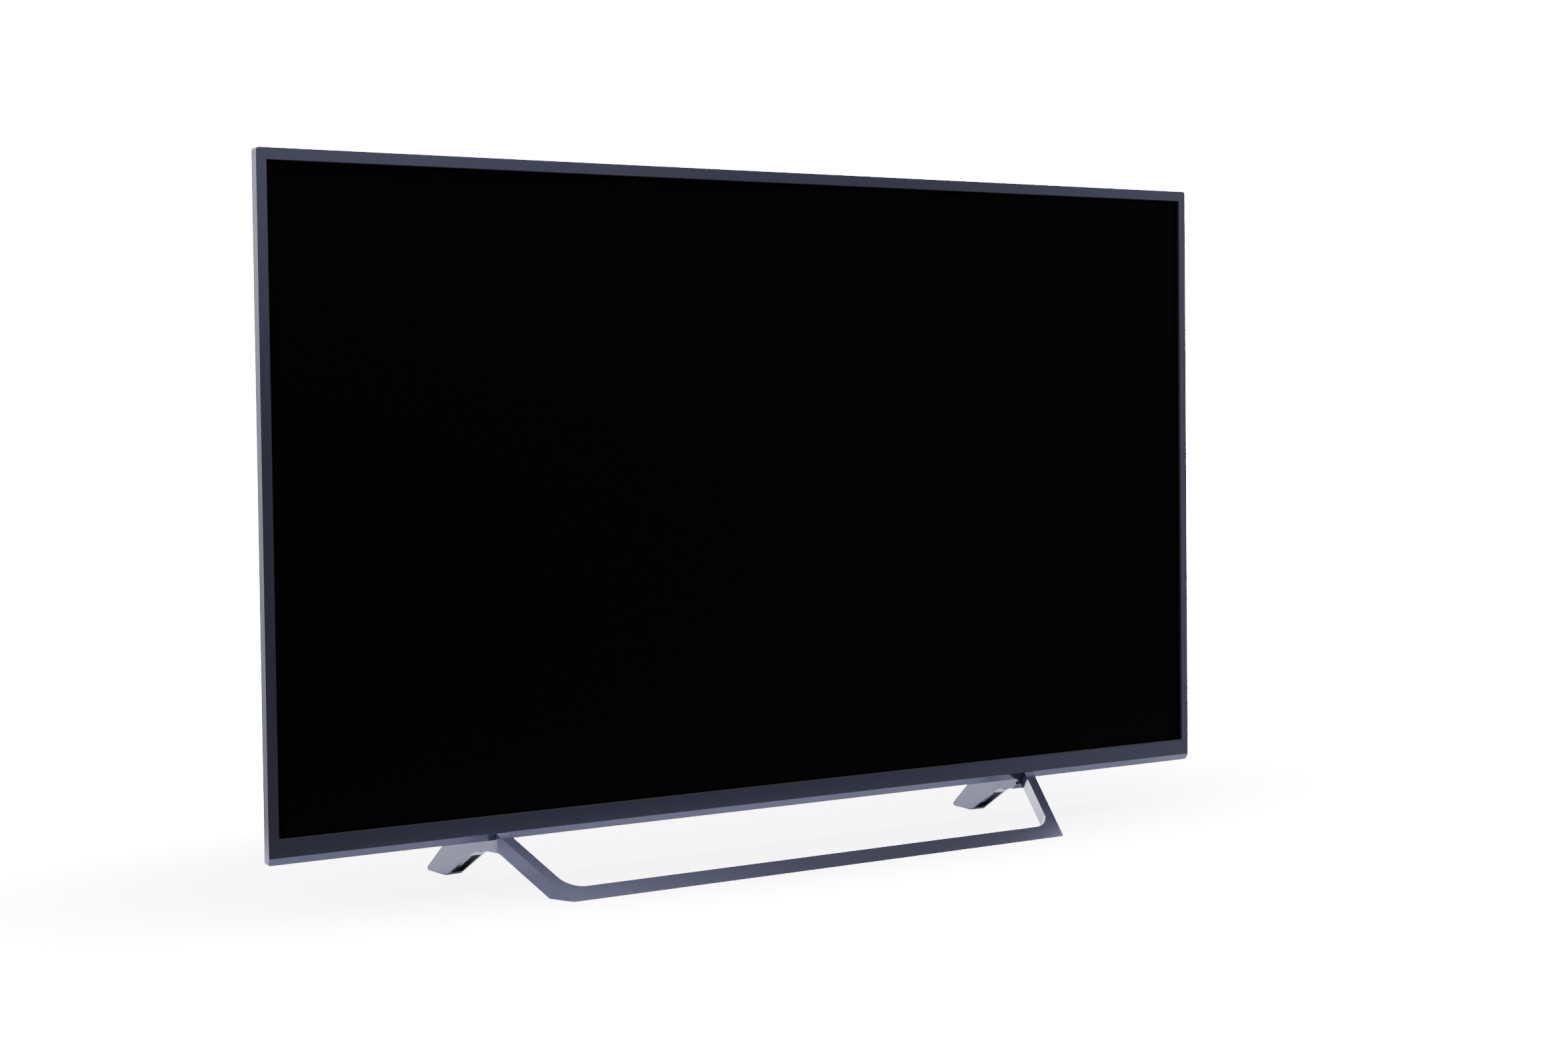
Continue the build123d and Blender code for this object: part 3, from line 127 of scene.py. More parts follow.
# %% A finish, and the pattern helpers that all of them share
class Finish(Graph):
    """One material, with its shader's constant values and its varying ones."""

    def __init__(self, name, constants):
        self.material = bpy.data.materials.new(name)
        self.material.use_nodes = True
        super().__init__(self.material.node_tree)
        self.shader = self.tree.nodes["Principled BSDF"]
        for label, value in constants.items():
            self.shader.inputs[label].default_value = value
        self.place = self.node("ShaderNodeTexCoord", output="Object")

    def set(self, label, value):
        self.feed(self.shader.inputs[label], value)

    def noise(self, size, detail=2.0, stretch=(1.0, 1.0, 1.0)):
        """Soft noise whose spots are about this size in metres, drawn out if asked."""
        scale = [1 / (size * part) for part in stretch]
        place = self.node("ShaderNodeMapping", {}, {"Vector": self.place, "Scale": scale})
        return self.node(
            "ShaderNodeTexNoise", {}, {"Vector": place, "Scale": 1.0, "Detail": detail, "Roughness": 0.55}
        )

    def mix(self, factor, first, second):
        """A colour between two, by a factor."""
        made = self.tree.nodes.new("ShaderNodeMix")
        made.data_type = "RGBA"
        self.feed(made.inputs["Factor"], factor)
        self.feed(made.inputs[6], first)
        self.feed(made.inputs[7], second)
        return Socket(self, made.outputs[2])

    def beyond(self, half, middle):
        """1 where the piece's own X or Z lies outside a rectangle, and 0 inside it."""
        axes = self.tree.nodes.new("ShaderNodeSeparateXYZ")
        self.feed(axes.inputs[0], self.place)
        ways = (Socket(self, axes.outputs["X"]), Socket(self, axes.outputs["Z"]) - middle)
        outside = [
            self.node("ShaderNodeMath", {"operation": "ABSOLUTE"}, {0: way}) > limit
            for way, limit in zip(ways, half)
        ]
        return self.node("ShaderNodeMath", {"operation": "MAXIMUM"}, dict(enumerate(outside)))

    def bump(self, height, depth):
        """Raise the surface by a pattern whose full height is this many metres."""
        sockets = {"Height": height, "Distance": depth, "Strength": 1.0}
        self.set("Normal", self.node("ShaderNodeBump", {}, sockets))


def shade(colour, factor):
    """A colour made lighter or darker, with full alpha."""
    return (*[min(1.0, part * factor) for part in colour[:3]], 1.0)


MM = 0.001
GUNMETAL = (0.112, 0.113, 0.182)


def metallic_lacquer(name, colour, roughness, painted_shade_box=None):
    """Satin lacquer over fine aluminium flakes; inside a given rectangle the bezel's inner lip is painted
    dull black as painted shade.
    """
    finish = Finish(name, {"Coat Roughness": 0.1, "IOR": 1.5})
    flakes = finish.noise(0.5 * MM, 1.0)
    drift = finish.noise(160 * MM)
    # Painted shade: this mask is 0 on the bezel's inner lip, which gets a dull black colour with no metal
    # and no gloss where the screen shades it, and 1 on the lacquer
    beyond_painted_shade = finish.beyond(*painted_shade_box) if painted_shade_box else 1.0
    lacquer = finish.mix(flakes, shade(colour, 0.9), shade(colour, 1.1))
    # The near-black colour here is the painted shade of the bezel's inner lip
    finish.set("Base Color", finish.mix(beyond_painted_shade, (0.003, 0.003, 0.004, 1.0), lacquer))
    finish.set("Metallic", beyond_painted_shade * 0.92)
    finish.set("Roughness", 0.8 + beyond_painted_shade * (roughness - 0.8 + (drift - 0.5) * 0.03 + (flakes - 0.5) * 0.03))
    finish.set("Coat Weight", beyond_painted_shade * (0.2 + (drift - 0.5) * 0.06))
    finish.bump(finish.noise(2.4 * MM, 1.0), 0.0015 * MM)
    return finish.material


def moulded_plastic(name, colour, roughness, grain, depth):
    """Plastic from a mould that was eroded to a fine grain."""
    finish = Finish(name, {"Specular IOR Level": 0.42})
    fine = finish.noise(grain, 3.0)
    broad = finish.noise(80 * MM)
    finish.set("Base Color", finish.mix(broad, shade(colour, 0.88), shade(colour, 1.15)))
    finish.set("Roughness", roughness + (fine - 0.5) * 0.16)
    finish.bump(fine, depth)
    return finish.material


def worked_metal(name, colour, roughness, stretch):
    """Bare or plated metal with the fine lines of its rolling, drawing or turning."""
    finish = Finish(name, {"Metallic": 1.0})
    lines = finish.noise(0.6 * MM, 2.0, stretch)
    cloud = finish.noise(14 * MM)
    finish.set("Base Color", finish.mix(cloud, shade(colour, 0.82), shade(colour, 1.08)))
    finish.set("Roughness", roughness + (lines - 0.5) * 0.2)
    finish.bump(lines, 0.006 * MM)
    return finish.material


print("Three families of finish are ready: lacquer, plastic and metal")

# %% [markdown]
# ## The screen's film
# A switched off panel is nearly black. Its film is etched so finely that it scatters
# what it mirrors into a soft haze, and the picture area lies a little inside a black
# border. The border is found from the piece's own X and Z, so it needs no image.


# %% The screen's film
def screen_film():
    """Black anti-glare film, with the picture area a trace lighter than its border."""
    finish = Finish("screen_film", {"Specular IOR Level": 0.03, "IOR": 1.5})
    border = finish.beyond(PICTURE_HALF, PICTURE_MIDDLE)
    haze = finish.noise(0.4 * MM, 1.0)
    finish.set("Base Color", finish.mix(border, (0.0016, 0.0016, 0.002, 1.0), (0.0008, 0.0008, 0.001, 1.0)))
    finish.set("Roughness", 0.34 + (haze - 0.5) * 0.06)
    finish.bump(haze, 0.002 * MM)
    return finish.material


film_low, film_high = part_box("front_polariser")
PICTURE_MIDDLE = (film_low[2] + film_high[2]) / 2
PICTURE_HALF = (1073.8 * MM / 2, 604.0 * MM / 2)
# The bezel's lacquer ends this far inside the film's edge, and inside that line the lip carries painted
# shade
PAINTED_SHADE_INSET = 1.35 * MM
PAINTED_SHADE_HALF = [(film_high[axis] - film_low[axis]) / 2 - PAINTED_SHADE_INSET for axis in (0, 2)]
print("Picture area:", PICTURE_HALF, "around the height", PICTURE_MIDDLE)

# %% [markdown]
# ## Circuit boards, tape, rubber and lens
# A board is a green resist over copper tracks, which show as slightly raised and
# lighter lines. Tracks run square to each other, so two stretched noises cut into
# steps give them. The infra-red lens is dark and smooth, and the pads are dull.


# %% Circuit boards, tape, rubber and lens
def circuit_resist():
    """Green solder resist with copper tracks and pads under it."""
    finish = Finish("circuit_board", {"Specular IOR Level": 0.5})
    upright = finish.noise(3 * MM, 1.0, (0.3, 1.0, 6.0))
    level = finish.noise(3 * MM, 1.0, (6.0, 1.0, 0.3))
    tracks = finish.node("ShaderNodeMath", {"operation": "MAXIMUM"}, {0: upright > 0.58, 1: level > 0.6})
    finish.set("Base Color", finish.mix(tracks, (0.006, 0.05, 0.02, 1.0), (0.02, 0.12, 0.045, 1.0)))
    finish.set("Roughness", 0.36 - tracks * 0.1)
    finish.bump(tracks, 0.03 * MM)
    return finish.material


def dark_lens():
    """The smooth plastic window of the remote control's receiver."""
    finish = Finish("lens_dark", {"IOR": 1.49})
    cloud = finish.noise(5 * MM)
    finish.set("Base Color", finish.mix(cloud, (0.012, 0.002, 0.004, 1.0), (0.02, 0.003, 0.006, 1.0)))
    finish.set("Roughness", 0.06 + cloud * 0.05)
    return finish.material


def clear_sheet():
    """Clear acrylic, seen only at its edges inside the set."""
    finish = Finish("clear_acrylic", {"IOR": 1.49})
    cloud = finish.noise(30 * MM)
    finish.set("Base Color", finish.mix(cloud, (0.72, 0.8, 0.82, 1.0), (0.82, 0.88, 0.9, 1.0)))
    finish.set("Roughness", 0.08 + cloud * 0.06)
    finish.set("Alpha", 0.55 + (cloud - 0.5) * 0.1)
    return finish.material


finishes = {
    # The bezel's inner lip, inside the screen's window, carries painted shade
    "bezel_finish": metallic_lacquer("bezel_finish", GUNMETAL, 0.17, (PAINTED_SHADE_HALF, PICTURE_MIDDLE)),
    "stand_finish": metallic_lacquer("stand_finish", GUNMETAL, 0.2),
    "screen_film": screen_film(),
    "screen_glass": moulded_plastic("screen_glass", (0.01, 0.01, 0.012), 0.12, 2 * MM, 0.001 * MM),
    "circuit_board": circuit_resist(),
    "inner_plastic": moulded_plastic("inner_plastic", (0.02, 0.02, 0.022), 0.5, 0.6 * MM, 0.01 * MM),
    "optical_sheet": moulded_plastic("optical_sheet", (0.8, 0.81, 0.83), 0.45, 0.3 * MM, 0.004 * MM),
    "clear_acrylic": clear_sheet(),
    "bare_aluminium": worked_metal("bare_aluminium", (0.68, 0.69, 0.71), 0.34, (20.0, 1.0, 1.0)),
    "led_yellow": moulded_plastic("led_yellow", (0.8, 0.68, 0.2), 0.4, 0.3 * MM, 0.004 * MM),
    "white_sheet": moulded_plastic("white_sheet", (0.86, 0.86, 0.86), 0.5, 0.3 * MM, 0.004 * MM),
    "plated_steel": worked_metal("plated_steel", (0.55, 0.56, 0.57), 0.36, (1.0, 1.0, 24.0)),
    "bush_brass": worked_metal("bush_brass", (0.6, 0.44, 0.2), 0.3, (1.0, 12.0, 1.0)),
    "cover_plastic": moulded_plastic("cover_plastic", (0.016, 0.016, 0.0185), 0.56, 0.5 * MM, 0.03 * MM),
    "black_steel": worked_metal("black_steel", (0.05, 0.05, 0.052), 0.38, (1.0, 1.0, 1.0)),
    "bright_steel": worked_metal("bright_steel", (0.52, 0.53, 0.55), 0.32, (8.0, 1.0, 1.0)),
    "chip_black": moulded_plastic("chip_black", (0.012, 0.012, 0.012), 0.5, 0.3 * MM, 0.006 * MM),
    "black_aluminium": worked_metal("black_aluminium", (0.05, 0.05, 0.055), 0.4, (1.0, 1.0, 14.0)),
    "winding_tape": moulded_plastic("winding_tape", (0.62, 0.45, 0.08), 0.35, 4 * MM, 0.05 * MM),
    "capacitor_sleeve": moulded_plastic("capacitor_sleeve", (0.02, 0.035, 0.09), 0.3, 3 * MM, 0.01 * MM),
    "ribbon_film": moulded_plastic("ribbon_film", (0.7, 0.7, 0.66), 0.4, 0.8 * MM, 0.02 * MM),
    "wire_sleeve": moulded_plastic("wire_sleeve", (0.02, 0.02, 0.022), 0.45, 1.5 * MM, 0.1 * MM),
    "socket_metal": worked_metal("socket_metal", (0.6, 0.6, 0.61), 0.24, (6.0, 1.0, 1.0)),
    "socket_black": moulded_plastic("socket_black", (0.012, 0.012, 0.013), 0.4, 0.4 * MM, 0.008 * MM),
    "terminal_black": moulded_plastic("terminal_black", (0.018, 0.018, 0.02), 0.48, 0.4 * MM, 0.02 * MM),
    "cone_paper": moulded_plastic("cone_paper", (0.03, 0.03, 0.03), 0.75, 0.8 * MM, 0.05 * MM),
    "key_plastic": moulded_plastic("key_plastic", (0.02, 0.02, 0.022), 0.4, 0.4 * MM, 0.01 * MM),
    "lens_dark": dark_lens(),
    "pad_rubber": moulded_plastic("pad_rubber", (0.018, 0.018, 0.018), 0.8, 0.7 * MM, 0.05 * MM),
}
slots = {entry["node"]: entry["material_slot"] for entry in frame["record"]["subparts"]}
for name, node in frame["nodes"].items():
    node.data.materials.clear()
    node.data.materials.append(finishes[slots[name]])
print("Finishes made:", len(finishes), "nodes dressed:", len(slots))

# %% [markdown]
# ## Repeated pieces with Geometry Nodes
# Screws, contacts, threads and wires repeat, so each kind is described once, in a tree
# of Geometry Nodes with its sizes as named inputs. Changing a size then changes all of
# them. The tree runs on a mesh whose points say where the copies go. Its result is
# turned into a plain mesh, because only plain meshes are exported.


# %% A geometry tree that is run once and leaves a plain mesh
def baked(piece):
    """Turn what a piece's modifiers make of it into its own plain mesh."""
    bpy.context.view_layer.update()
    seen = piece.evaluated_get(bpy.context.evaluated_depsgraph_get())
    plain = bpy.data.meshes.new_from_object(seen)
    piece.modifiers.clear()
    piece.data = plain
    return plain


class Pattern(Graph):
    """A tree that copies a shape to points, with its sizes as named inputs."""

    def __init__(self, name, sizes):
        super().__init__(bpy.data.node_groups.new(name, "GeometryNodeTree"))
        interface = self.tree.interface
        interface.new_socket("Geometry", in_out="INPUT", socket_type="NodeSocketGeometry")
        interface.new_socket("Geometry", in_out="OUTPUT", socket_type="NodeSocketGeometry")
        for label, kind in sizes.items():
            interface.new_socket(label, in_out="INPUT", socket_type=f"NodeSocket{kind}")
        interface.new_socket("Finish", in_out="INPUT", socket_type="NodeSocketMaterial")
        self.entry = self.tree.nodes.new("NodeGroupInput")
        self.exit = self.tree.nodes.new("NodeGroupOutput")

    def given(self, label):
        """The value that the modifier hands in under this name."""
        return Socket(self, self.entry.outputs[label])

    def copies(self, shape, turn=None):
        """Put the shape on every point, and end the tree."""
        sockets = {"Points": self.given("Geometry"), "Instance": shape}
        if turn is not None:
            sockets["Rotation"] = turn
        spread = self.node("GeometryNodeInstanceOnPoints", {}, sockets)
        real = self.node("GeometryNodeRealizeInstances", {}, {"Geometry": spread})
        dressed = self.node(
            "GeometryNodeSetMaterial", {}, {"Geometry": real, "Material": self.given("Finish")}
        )
        self.feed(self.exit.inputs[0], dressed)

    def made(self, name, points, values, body="set"):
        """Run the tree on some points and keep the result as one plain mesh."""
        mesh = bpy.data.meshes.new(name)
        mesh.from_pydata([Vector(point) for point in points], [], [])
        piece = bpy.data.objects.new(name, mesh)
        bpy.context.scene.collection.objects.link(piece)
        modifier = piece.modifiers.new("pattern", "NODES")
        modifier.node_group = self.tree
        keys = {
            item.name: item.identifier
            for item in self.tree.interface.items_tree
            if item.in_out == "INPUT"
        }
        for label, value in values.items():
            modifier[keys[label]] = value
        plain = baked(piece)
        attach(piece, body)
        print(name, "has", len(plain.polygons), "faces")
        return piece


def solids(node):
    """The box of each separate solid of a CAD node, from left to right."""
    shape = bmesh.new()
    shape.from_mesh(frame["nodes"][node].data)
    bmesh.ops.remove_doubles(shape, verts=shape.verts, dist=0.001 * MM)
    left, boxes = set(shape.verts), []
    while left:
        reached = {left.pop()}
        edge = list(reached)
        while edge:
            point = edge.pop()
            near = {line.other_vert(point) for line in point.link_edges} - reached
            reached |= near
            edge.extend(near)
        left -= reached
        corners = list(zip(*[tuple(point.co) for point in reached]))
        boxes.append((Vector(map(min, corners)), Vector(map(max, corners))))
    shape.free()
    return sorted(boxes, key=lambda box: tuple(box[0]))


def under_back(low, high, depth):
    """The middle of a box seen from behind, at a depth under its back."""
    return ((low[0] + high[0]) / 2, high[1] - depth, (low[2] + high[2]) / 2)


print("Cover screws:", len(solids("rear_cover_screws")), "bushes:", len(solids("vesa_bushes")))

# %% [markdown]
# ## The cover's screws
# Each screw has a domed head with a cross recess, which catches the light at the foot
# of its well. One head is drawn as rings of points: the outer edge, the dome, the
# cross and its floor. The tree then copies it to every place where the CAD model has
# a plain screw, and turns it to face the back.


# %% One screw head with a cross recess
def bridged(shape, first, second):
    """A band of faces between two rings with the same number of points."""
    for index in range(len(first)):
        after = (index + 1) % len(first)
        shape.faces.new((first[index], first[after], second[after], second[index]))


def ring(shape, radii, height):
    """A ring of points at a height, one for each radius, evenly turned."""
    step = 2 * math.pi / len(radii)
    return [
        shape.verts.new((radius * math.cos(step * i), radius * math.sin(step * i), height))
        for i, radius in enumerate(radii)
    ]


def cross_head(head, rise, shank, length, recess):
    """A screw along Z with its seat at zero, as one closed mesh."""
    sides = 32
    wing = [recess if i % 8 in (0, 1, 7) else 0.42 * recess for i in range(sides)]
    shape = bmesh.new()
    rings = [
        ring(shape, [shank] * sides, -length),
        ring(shape, [shank] * sides, 0),
        ring(shape, [head] * sides, 0),
        ring(shape, [head] * sides, 0.35 * rise),
        ring(shape, [0.93 * head] * sides, 0.7 * rise),
        ring(shape, [0.78 * head] * sides, 0.95 * rise),
        ring(shape, [1.12 * part for part in wing], rise),
        ring(shape, wing, 0.97 * rise),
        ring(shape, [0.72 * part for part in wing], 0.3 * rise),
    ]
    for first, second in zip(rings, rings[1:]):
        bridged(shape, first, second)
    shape.faces.new(rings[0][::-1])
    shape.faces.new(rings[-1])
    bmesh.ops.recalc_face_normals(shape, faces=shape.faces)
    mesh = bpy.data.meshes.new("cross_head")
    shape.to_mesh(mesh)
    shape.free()
    return mesh


screw_boxes = solids("rear_cover_screws")
first_low, first_high = screw_boxes[0]
head_radius, head_rise, recess_reach = 3.0 * MM, 1.8 * MM, 1.9 * MM
shank_radius, shank_length = 1.5 * MM, 5.4 * MM
head_mesh = cross_head(head_radius, head_rise, shank_radius, shank_length, recess_reach)
screw_model = bpy.data.objects.new("screw_model", head_mesh)
bpy.context.scene.collection.objects.link(screw_model)
print("One screw has", len(screw_model.data.polygons), "faces; its solid is", first_high - first_low)

# %% Copy the screw into every well of the cover
screws = Pattern("screw_pattern", {"Model": "Object", "Turn": "Vector"})
shown = screws.node("GeometryNodeObjectInfo", {}, {"Object": screws.given("Model")}, output="Geometry")
screws.copies(shown, screws.given("Turn"))
seats = [under_back(low, high, head_rise) for low, high in screw_boxes]
cover_screws = screws.made(
    "cross_head_screws",
    seats,
    {"Model": screw_model, "Turn": (-math.pi / 2, 0.0, 0.0), "Finish": finishes["black_steel"]},
)
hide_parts("rear_cover_screws")
bpy.data.objects.remove(screw_model)

# %% [markdown]
# ## Threads in the wall mount's bushes
# The four brass bushes take machine screws, so their bores show a thread. A spiral
# curve with a small round section is the simplest thread that catches the light.

# %% The threads
threads = Pattern(
    "thread_pattern",
    {"Radius": "Float", "Height": "Float", "Turns": "Float", "Wire": "Float", "Turn": "Vector"},
)
coil = threads.node(
    "GeometryNodeCurveSpiral",
    {},
    {
        "Resolution": 20,
        "Rotations": threads.given("Turns"),
        "Start Radius": threads.given("Radius"),
        "End Radius": threads.given("Radius"),
        "Height": threads.given("Height"),
    },
)
section = threads.node(
    "GeometryNodeCurvePrimitiveCircle", {}, {"Resolution": 4, "Radius": threads.given("Wire")}
)
wound = threads.node(
    "GeometryNodeCurveToMesh", {}, {"Curve": coil, "Profile Curve": section, "Fill Caps": True}
)
threads.copies(wound, threads.given("Turn"))
bush_boxes = solids("vesa_bushes")
thread_height = 16 * MM
thread_sunk = 0.5 * MM
bush_mouths = [under_back(low, high, thread_height + thread_sunk) for low, high in bush_boxes]
bush_threads = threads.made(
    "bush_threads",
    bush_mouths,
    {
        "Radius": 3.0 * MM,
        "Height": thread_height,
        "Turns": 16.0,
        "Wire": 0.32 * MM,
        "Turn": (-math.pi / 2, 0.0, 0.0),
        "Finish": finishes["bush_brass"],
    },
)

# %% [markdown]
# ## Contacts in the sockets
# A plug meets rows of thin gilt blades on a plastic tongue. A row is a line of small
# blocks, and the tree copies that row to each socket, so one tree serves the picture
# sockets, the data sockets and the network socket with different sizes.

# %% Tongues and gilt contacts
gilt = worked_metal("gilt_contact", (0.78, 0.52, 0.16), 0.25, (6.0, 1.0, 1.0))
tongue_plastic = moulded_plastic("tongue_plastic", (0.012, 0.012, 0.014), 0.45, 0.3 * MM, 0.006 * MM)
white_tongue = moulded_plastic("white_tongue", (0.75, 0.75, 0.74), 0.45, 0.3 * MM, 0.006 * MM)
rows = Pattern("contact_pattern", {"Count": "Int", "Step": "Vector", "Block": "Vector"})
blade = rows.node("GeometryNodeMeshCube", {}, {"Size": rows.given("Block")})
line = rows.node(
    "GeometryNodeMeshLine",
    {"mode": "OFFSET"},
    {"Count": rows.given("Count"), "Offset": rows.given("Step")},
)
row = rows.node("GeometryNodeInstanceOnPoints", {}, {"Points": line, "Instance": blade})
rows.copies(row)


def socket_row(name, boxes, wall, tongue, shift, blades, pitch, finish):
    """A tongue in each side socket of a node, with a row of contacts on its face."""
    long, thick, tall = tongue
    backs = [
        (high.x - wall - long / 2, (low.y + high.y) / 2 + shift, (low.z + high.z) / 2)
        for low, high in boxes
    ]
    values = {"Count": 1, "Step": (0.0, 0.0, 0.0), "Block": (long, thick, tall), "Finish": finish}
    rows.made(f"{name}_tongues", backs, values)
    strip = (0.8 * long, 0.12 * MM, 0.55 * pitch)
    starts = [
        (x, y + side * (thick / 2 + 0.05 * MM), z - (blades - 1) * pitch / 2)
        for x, y, z in backs
        for side in (-1, 1)
    ]
    values = {"Count": blades, "Step": (0.0, 0.0, pitch), "Block": strip, "Finish": gilt}
    rows.made(f"{name}_contacts", starts, values)


socket_wall = 0.9 * MM
socket_row(
    "picture",
    solids("hdmi_sockets"),
    wall=socket_wall,
    tongue=(9.0 * MM, 1.1 * MM, 10.4 * MM),
    shift=0.0,
    blades=10,
    pitch=1.0 * MM,
    finish=tongue_plastic,
)
socket_row(
    "data",
    solids("usb_sockets"),
    wall=socket_wall,
    tongue=(9.5 * MM, 1.8 * MM, 10.8 * MM),
    shift=1.2 * MM,
    blades=4,
    pitch=2.3 * MM,
    finish=white_tongue,
)

# %% Spring wires in the network socket
net_low, net_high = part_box("ethernet_socket")
# The row's middle wires lie over the socket's middle, near the top of its mouth
first_wire = Vector((-3.5 * MM, 0.0, 3.2 * MM))
wire_row = Vector(under_back(net_low, net_high, 5.0 * MM)) + first_wire
rows.made(
    "network_contacts",
    [wire_row],
    {
        "Count": 8,
        "Step": (1.0 * MM, 0.0, 0.0),
        "Block": (0.4 * MM, 7.0 * MM, 0.4 * MM),
        "Finish": gilt,
    },
)

# %% [markdown]
# ## Rings round the jacks
# The three round jacks carry coloured rings that tell picture from sound. The aerial
# socket and the headphone socket have bright metal mouths. Each is a ring with a round
# section, so one tree makes them all and only the radius and the finish change.

# %% The rings
rings = Pattern("ring_pattern", {"Radius": "Float", "Wire": "Float", "Turn": "Vector"})
circle = "GeometryNodeCurvePrimitiveCircle"
loop = rings.node(circle, {}, {"Resolution": 40, "Radius": rings.given("Radius")})
bead = rings.node(circle, {}, {"Resolution": 10, "Radius": rings.given("Wire")})
round_ring = rings.node("GeometryNodeCurveToMesh", {}, {"Curve": loop, "Profile Curve": bead})
rings.copies(round_ring, rings.given("Turn"))
jack_finishes = {
    "white_jack": moulded_plastic("white_jack", (0.8, 0.8, 0.78), 0.35, 0.4 * MM, 0.004 * MM),
    "red_jack": moulded_plastic("red_jack", (0.55, 0.02, 0.015), 0.35, 0.4 * MM, 0.004 * MM),
    "yellow_jack": moulded_plastic("yellow_jack", (0.8, 0.55, 0.02), 0.35, 0.4 * MM, 0.004 * MM),
}
face_back = (math.pi / 2, 0.0, 0.0)
for (name, finish), (low, high) in zip(jack_finishes.items(), solids("video_jacks")):
    rings.made(
        f"{name}_ring",
        [under_back(low, high, 0.35 * MM)],
        {"Radius": 3.7 * MM, "Wire": 0.55 * MM, "Turn": face_back, "Finish": finish},
    )
aerial_low, aerial_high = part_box("antenna_socket")
aerial_mouths = [under_back(aerial_low, aerial_high, back * MM) for back in (0.3, 1.3, 2.3, 3.3)]
rings.made(
    "aerial_rings",
    aerial_mouths,
    {"Radius": 4.9 * MM, "Wire": 0.25 * MM, "Turn": face_back, "Finish": finishes["socket_metal"]},
)
phone_low, phone_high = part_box("headphone_socket")
phone_middle = [(low + high) / 2 for low, high in zip(phone_low, phone_high)]
rings.made(
    "headphone_ring",
    [(phone_low[0] + 0.1 * MM, *phone_middle[1:])],
    {
        "Radius": 2.7 * MM,
        "Wire": 0.4 * MM,
        "Turn": (0.0, math.pi / 2, 0.0),
        "Finish": finishes["socket_metal"],
    },
)

# %% [markdown]
# ## Gauze behind the speaker slots
# Behind the slots in the underside a fine metal gauze keeps dust off the cones. Two
# lines of thin wires that cross give it, one tree for both speakers.

# %% The gauze
gauze = Pattern("gauze_pattern", {"Pitch": "Float", "Wire": "Float", "Long": "Float", "Wide": "Float"})


def wire_line(count, block, step, start):
    """A row of straight wires in the gauze tree, starting half its own width away."""
    wires = gauze.node("GeometryNodeMeshCube", {}, {"Size": gauze.node("ShaderNodeCombineXYZ", {}, block)})
    places = gauze.node(
        "GeometryNodeMeshLine",
        {"mode": "OFFSET"},
        {
            "Count": count,
            "Start Location": gauze.node("ShaderNodeCombineXYZ", {}, start),
            "Offset": gauze.node("ShaderNodeCombineXYZ", {}, step),
        },
    )
    return gauze.node("GeometryNodeInstanceOnPoints", {}, {"Points": places, "Instance": wires})


pitch, wire, long, wide = (gauze.given(label) for label in ("Pitch", "Wire", "Long", "Wide"))
woven = gauze.tree.nodes.new("GeometryNodeJoinGeometry")
along = wire_line(wide / pitch, {0: long, 1: wire, 2: wire}, {1: pitch}, {1: 0 - wide / 2})
across = wire_line(long / pitch, {0: wire, 1: wide, 2: wire}, {0: pitch}, {0: 0 - long / 2})
for part in (along, across):
    gauze.tree.links.new(part.socket, woven.inputs[0])
gauze.copies(Socket(gauze, woven.outputs[0]))
front_face = min(corner[1] for corner in frame["nodes"]["front_bezel"].bound_box)
# How far the gauze lies behind the front face, beside the middle and above the floor
slot_reach, speaker_reach, gauze_height = 32.9 * MM, 205.0 * MM, 52.0 * MM
gauze.made(
    "speaker_gauze",
    [(side * speaker_reach, front_face + slot_reach, gauze_height) for side in (-1, 1)],
    {
        "Pitch": 1.5 * MM,
        "Wire": 0.45 * MM,
        "Long": 112.0 * MM,
        "Wide": 26.0 * MM,
        "Finish": finishes["black_steel"],
    },
)

# %% [markdown]
# ## Edges that catch the light
# On the real stand every edge is slightly rounded, and those thin rounds give the
# bright lines that show its shape. The CAD solids have sharp edges there, so a copy
# of each one is merged, its edges are beveled, and its normals are weighted by area
# so that the flat faces stay flat.


# %% Copies of the stand with rounded edges
def rounded(node, width, least_angle=24.0):
    """A copy of a CAD node with its sharp edges rounded, shown in its place."""
    shape = bmesh.new()
    shape.from_mesh(frame["nodes"][node].data)
    bmesh.ops.remove_doubles(shape, verts=shape.verts, dist=0.001 * MM)
    bmesh.ops.dissolve_limit(
        shape, angle_limit=math.radians(0.6), verts=shape.verts, edges=shape.edges, delimit=set()
    )
    mesh = bpy.data.meshes.new(f"{node}_rounded")
    shape.to_mesh(mesh)
    shape.free()
    piece = bpy.data.objects.new(f"{node}_rounded", mesh)
    bpy.context.scene.collection.objects.link(piece)
    edge = piece.modifiers.new("edge", "BEVEL")
    edge.width = width
    edge.segments = 3
    edge.limit_method = "ANGLE"
    edge.angle_limit = math.radians(least_angle)
    edge.use_clamp_overlap = True
    mesh.shade_smooth()
    weight = piece.modifiers.new("weight", "WEIGHTED_NORMAL")
    weight.keep_sharp = True
    plain = baked(piece)
    plain.materials.clear()
    plain.materials.append(finishes[slots[node]])
    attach(piece, "set")
    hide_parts(node)
    print(piece.name, "has", len(plain.polygons), "faces")


for stand_node in ("stand_loop", "left_stand_leg", "right_stand_leg"):
    rounded(stand_node, 0.7 * MM)

# %% [markdown]
# ## The studio
# The photograph was taken against white, with a bright wall behind the set and a
# dark room in front of it. That is why the front of the frame looks dark and its side
# and its sloped foot look bright. A world whose brightness changes from front to back
# and from side to side gives the same reflections, and two large soft lamps lighten
# the floor and the side.
# A small bright patch straight behind the set whitens the inside of the stand's arm.

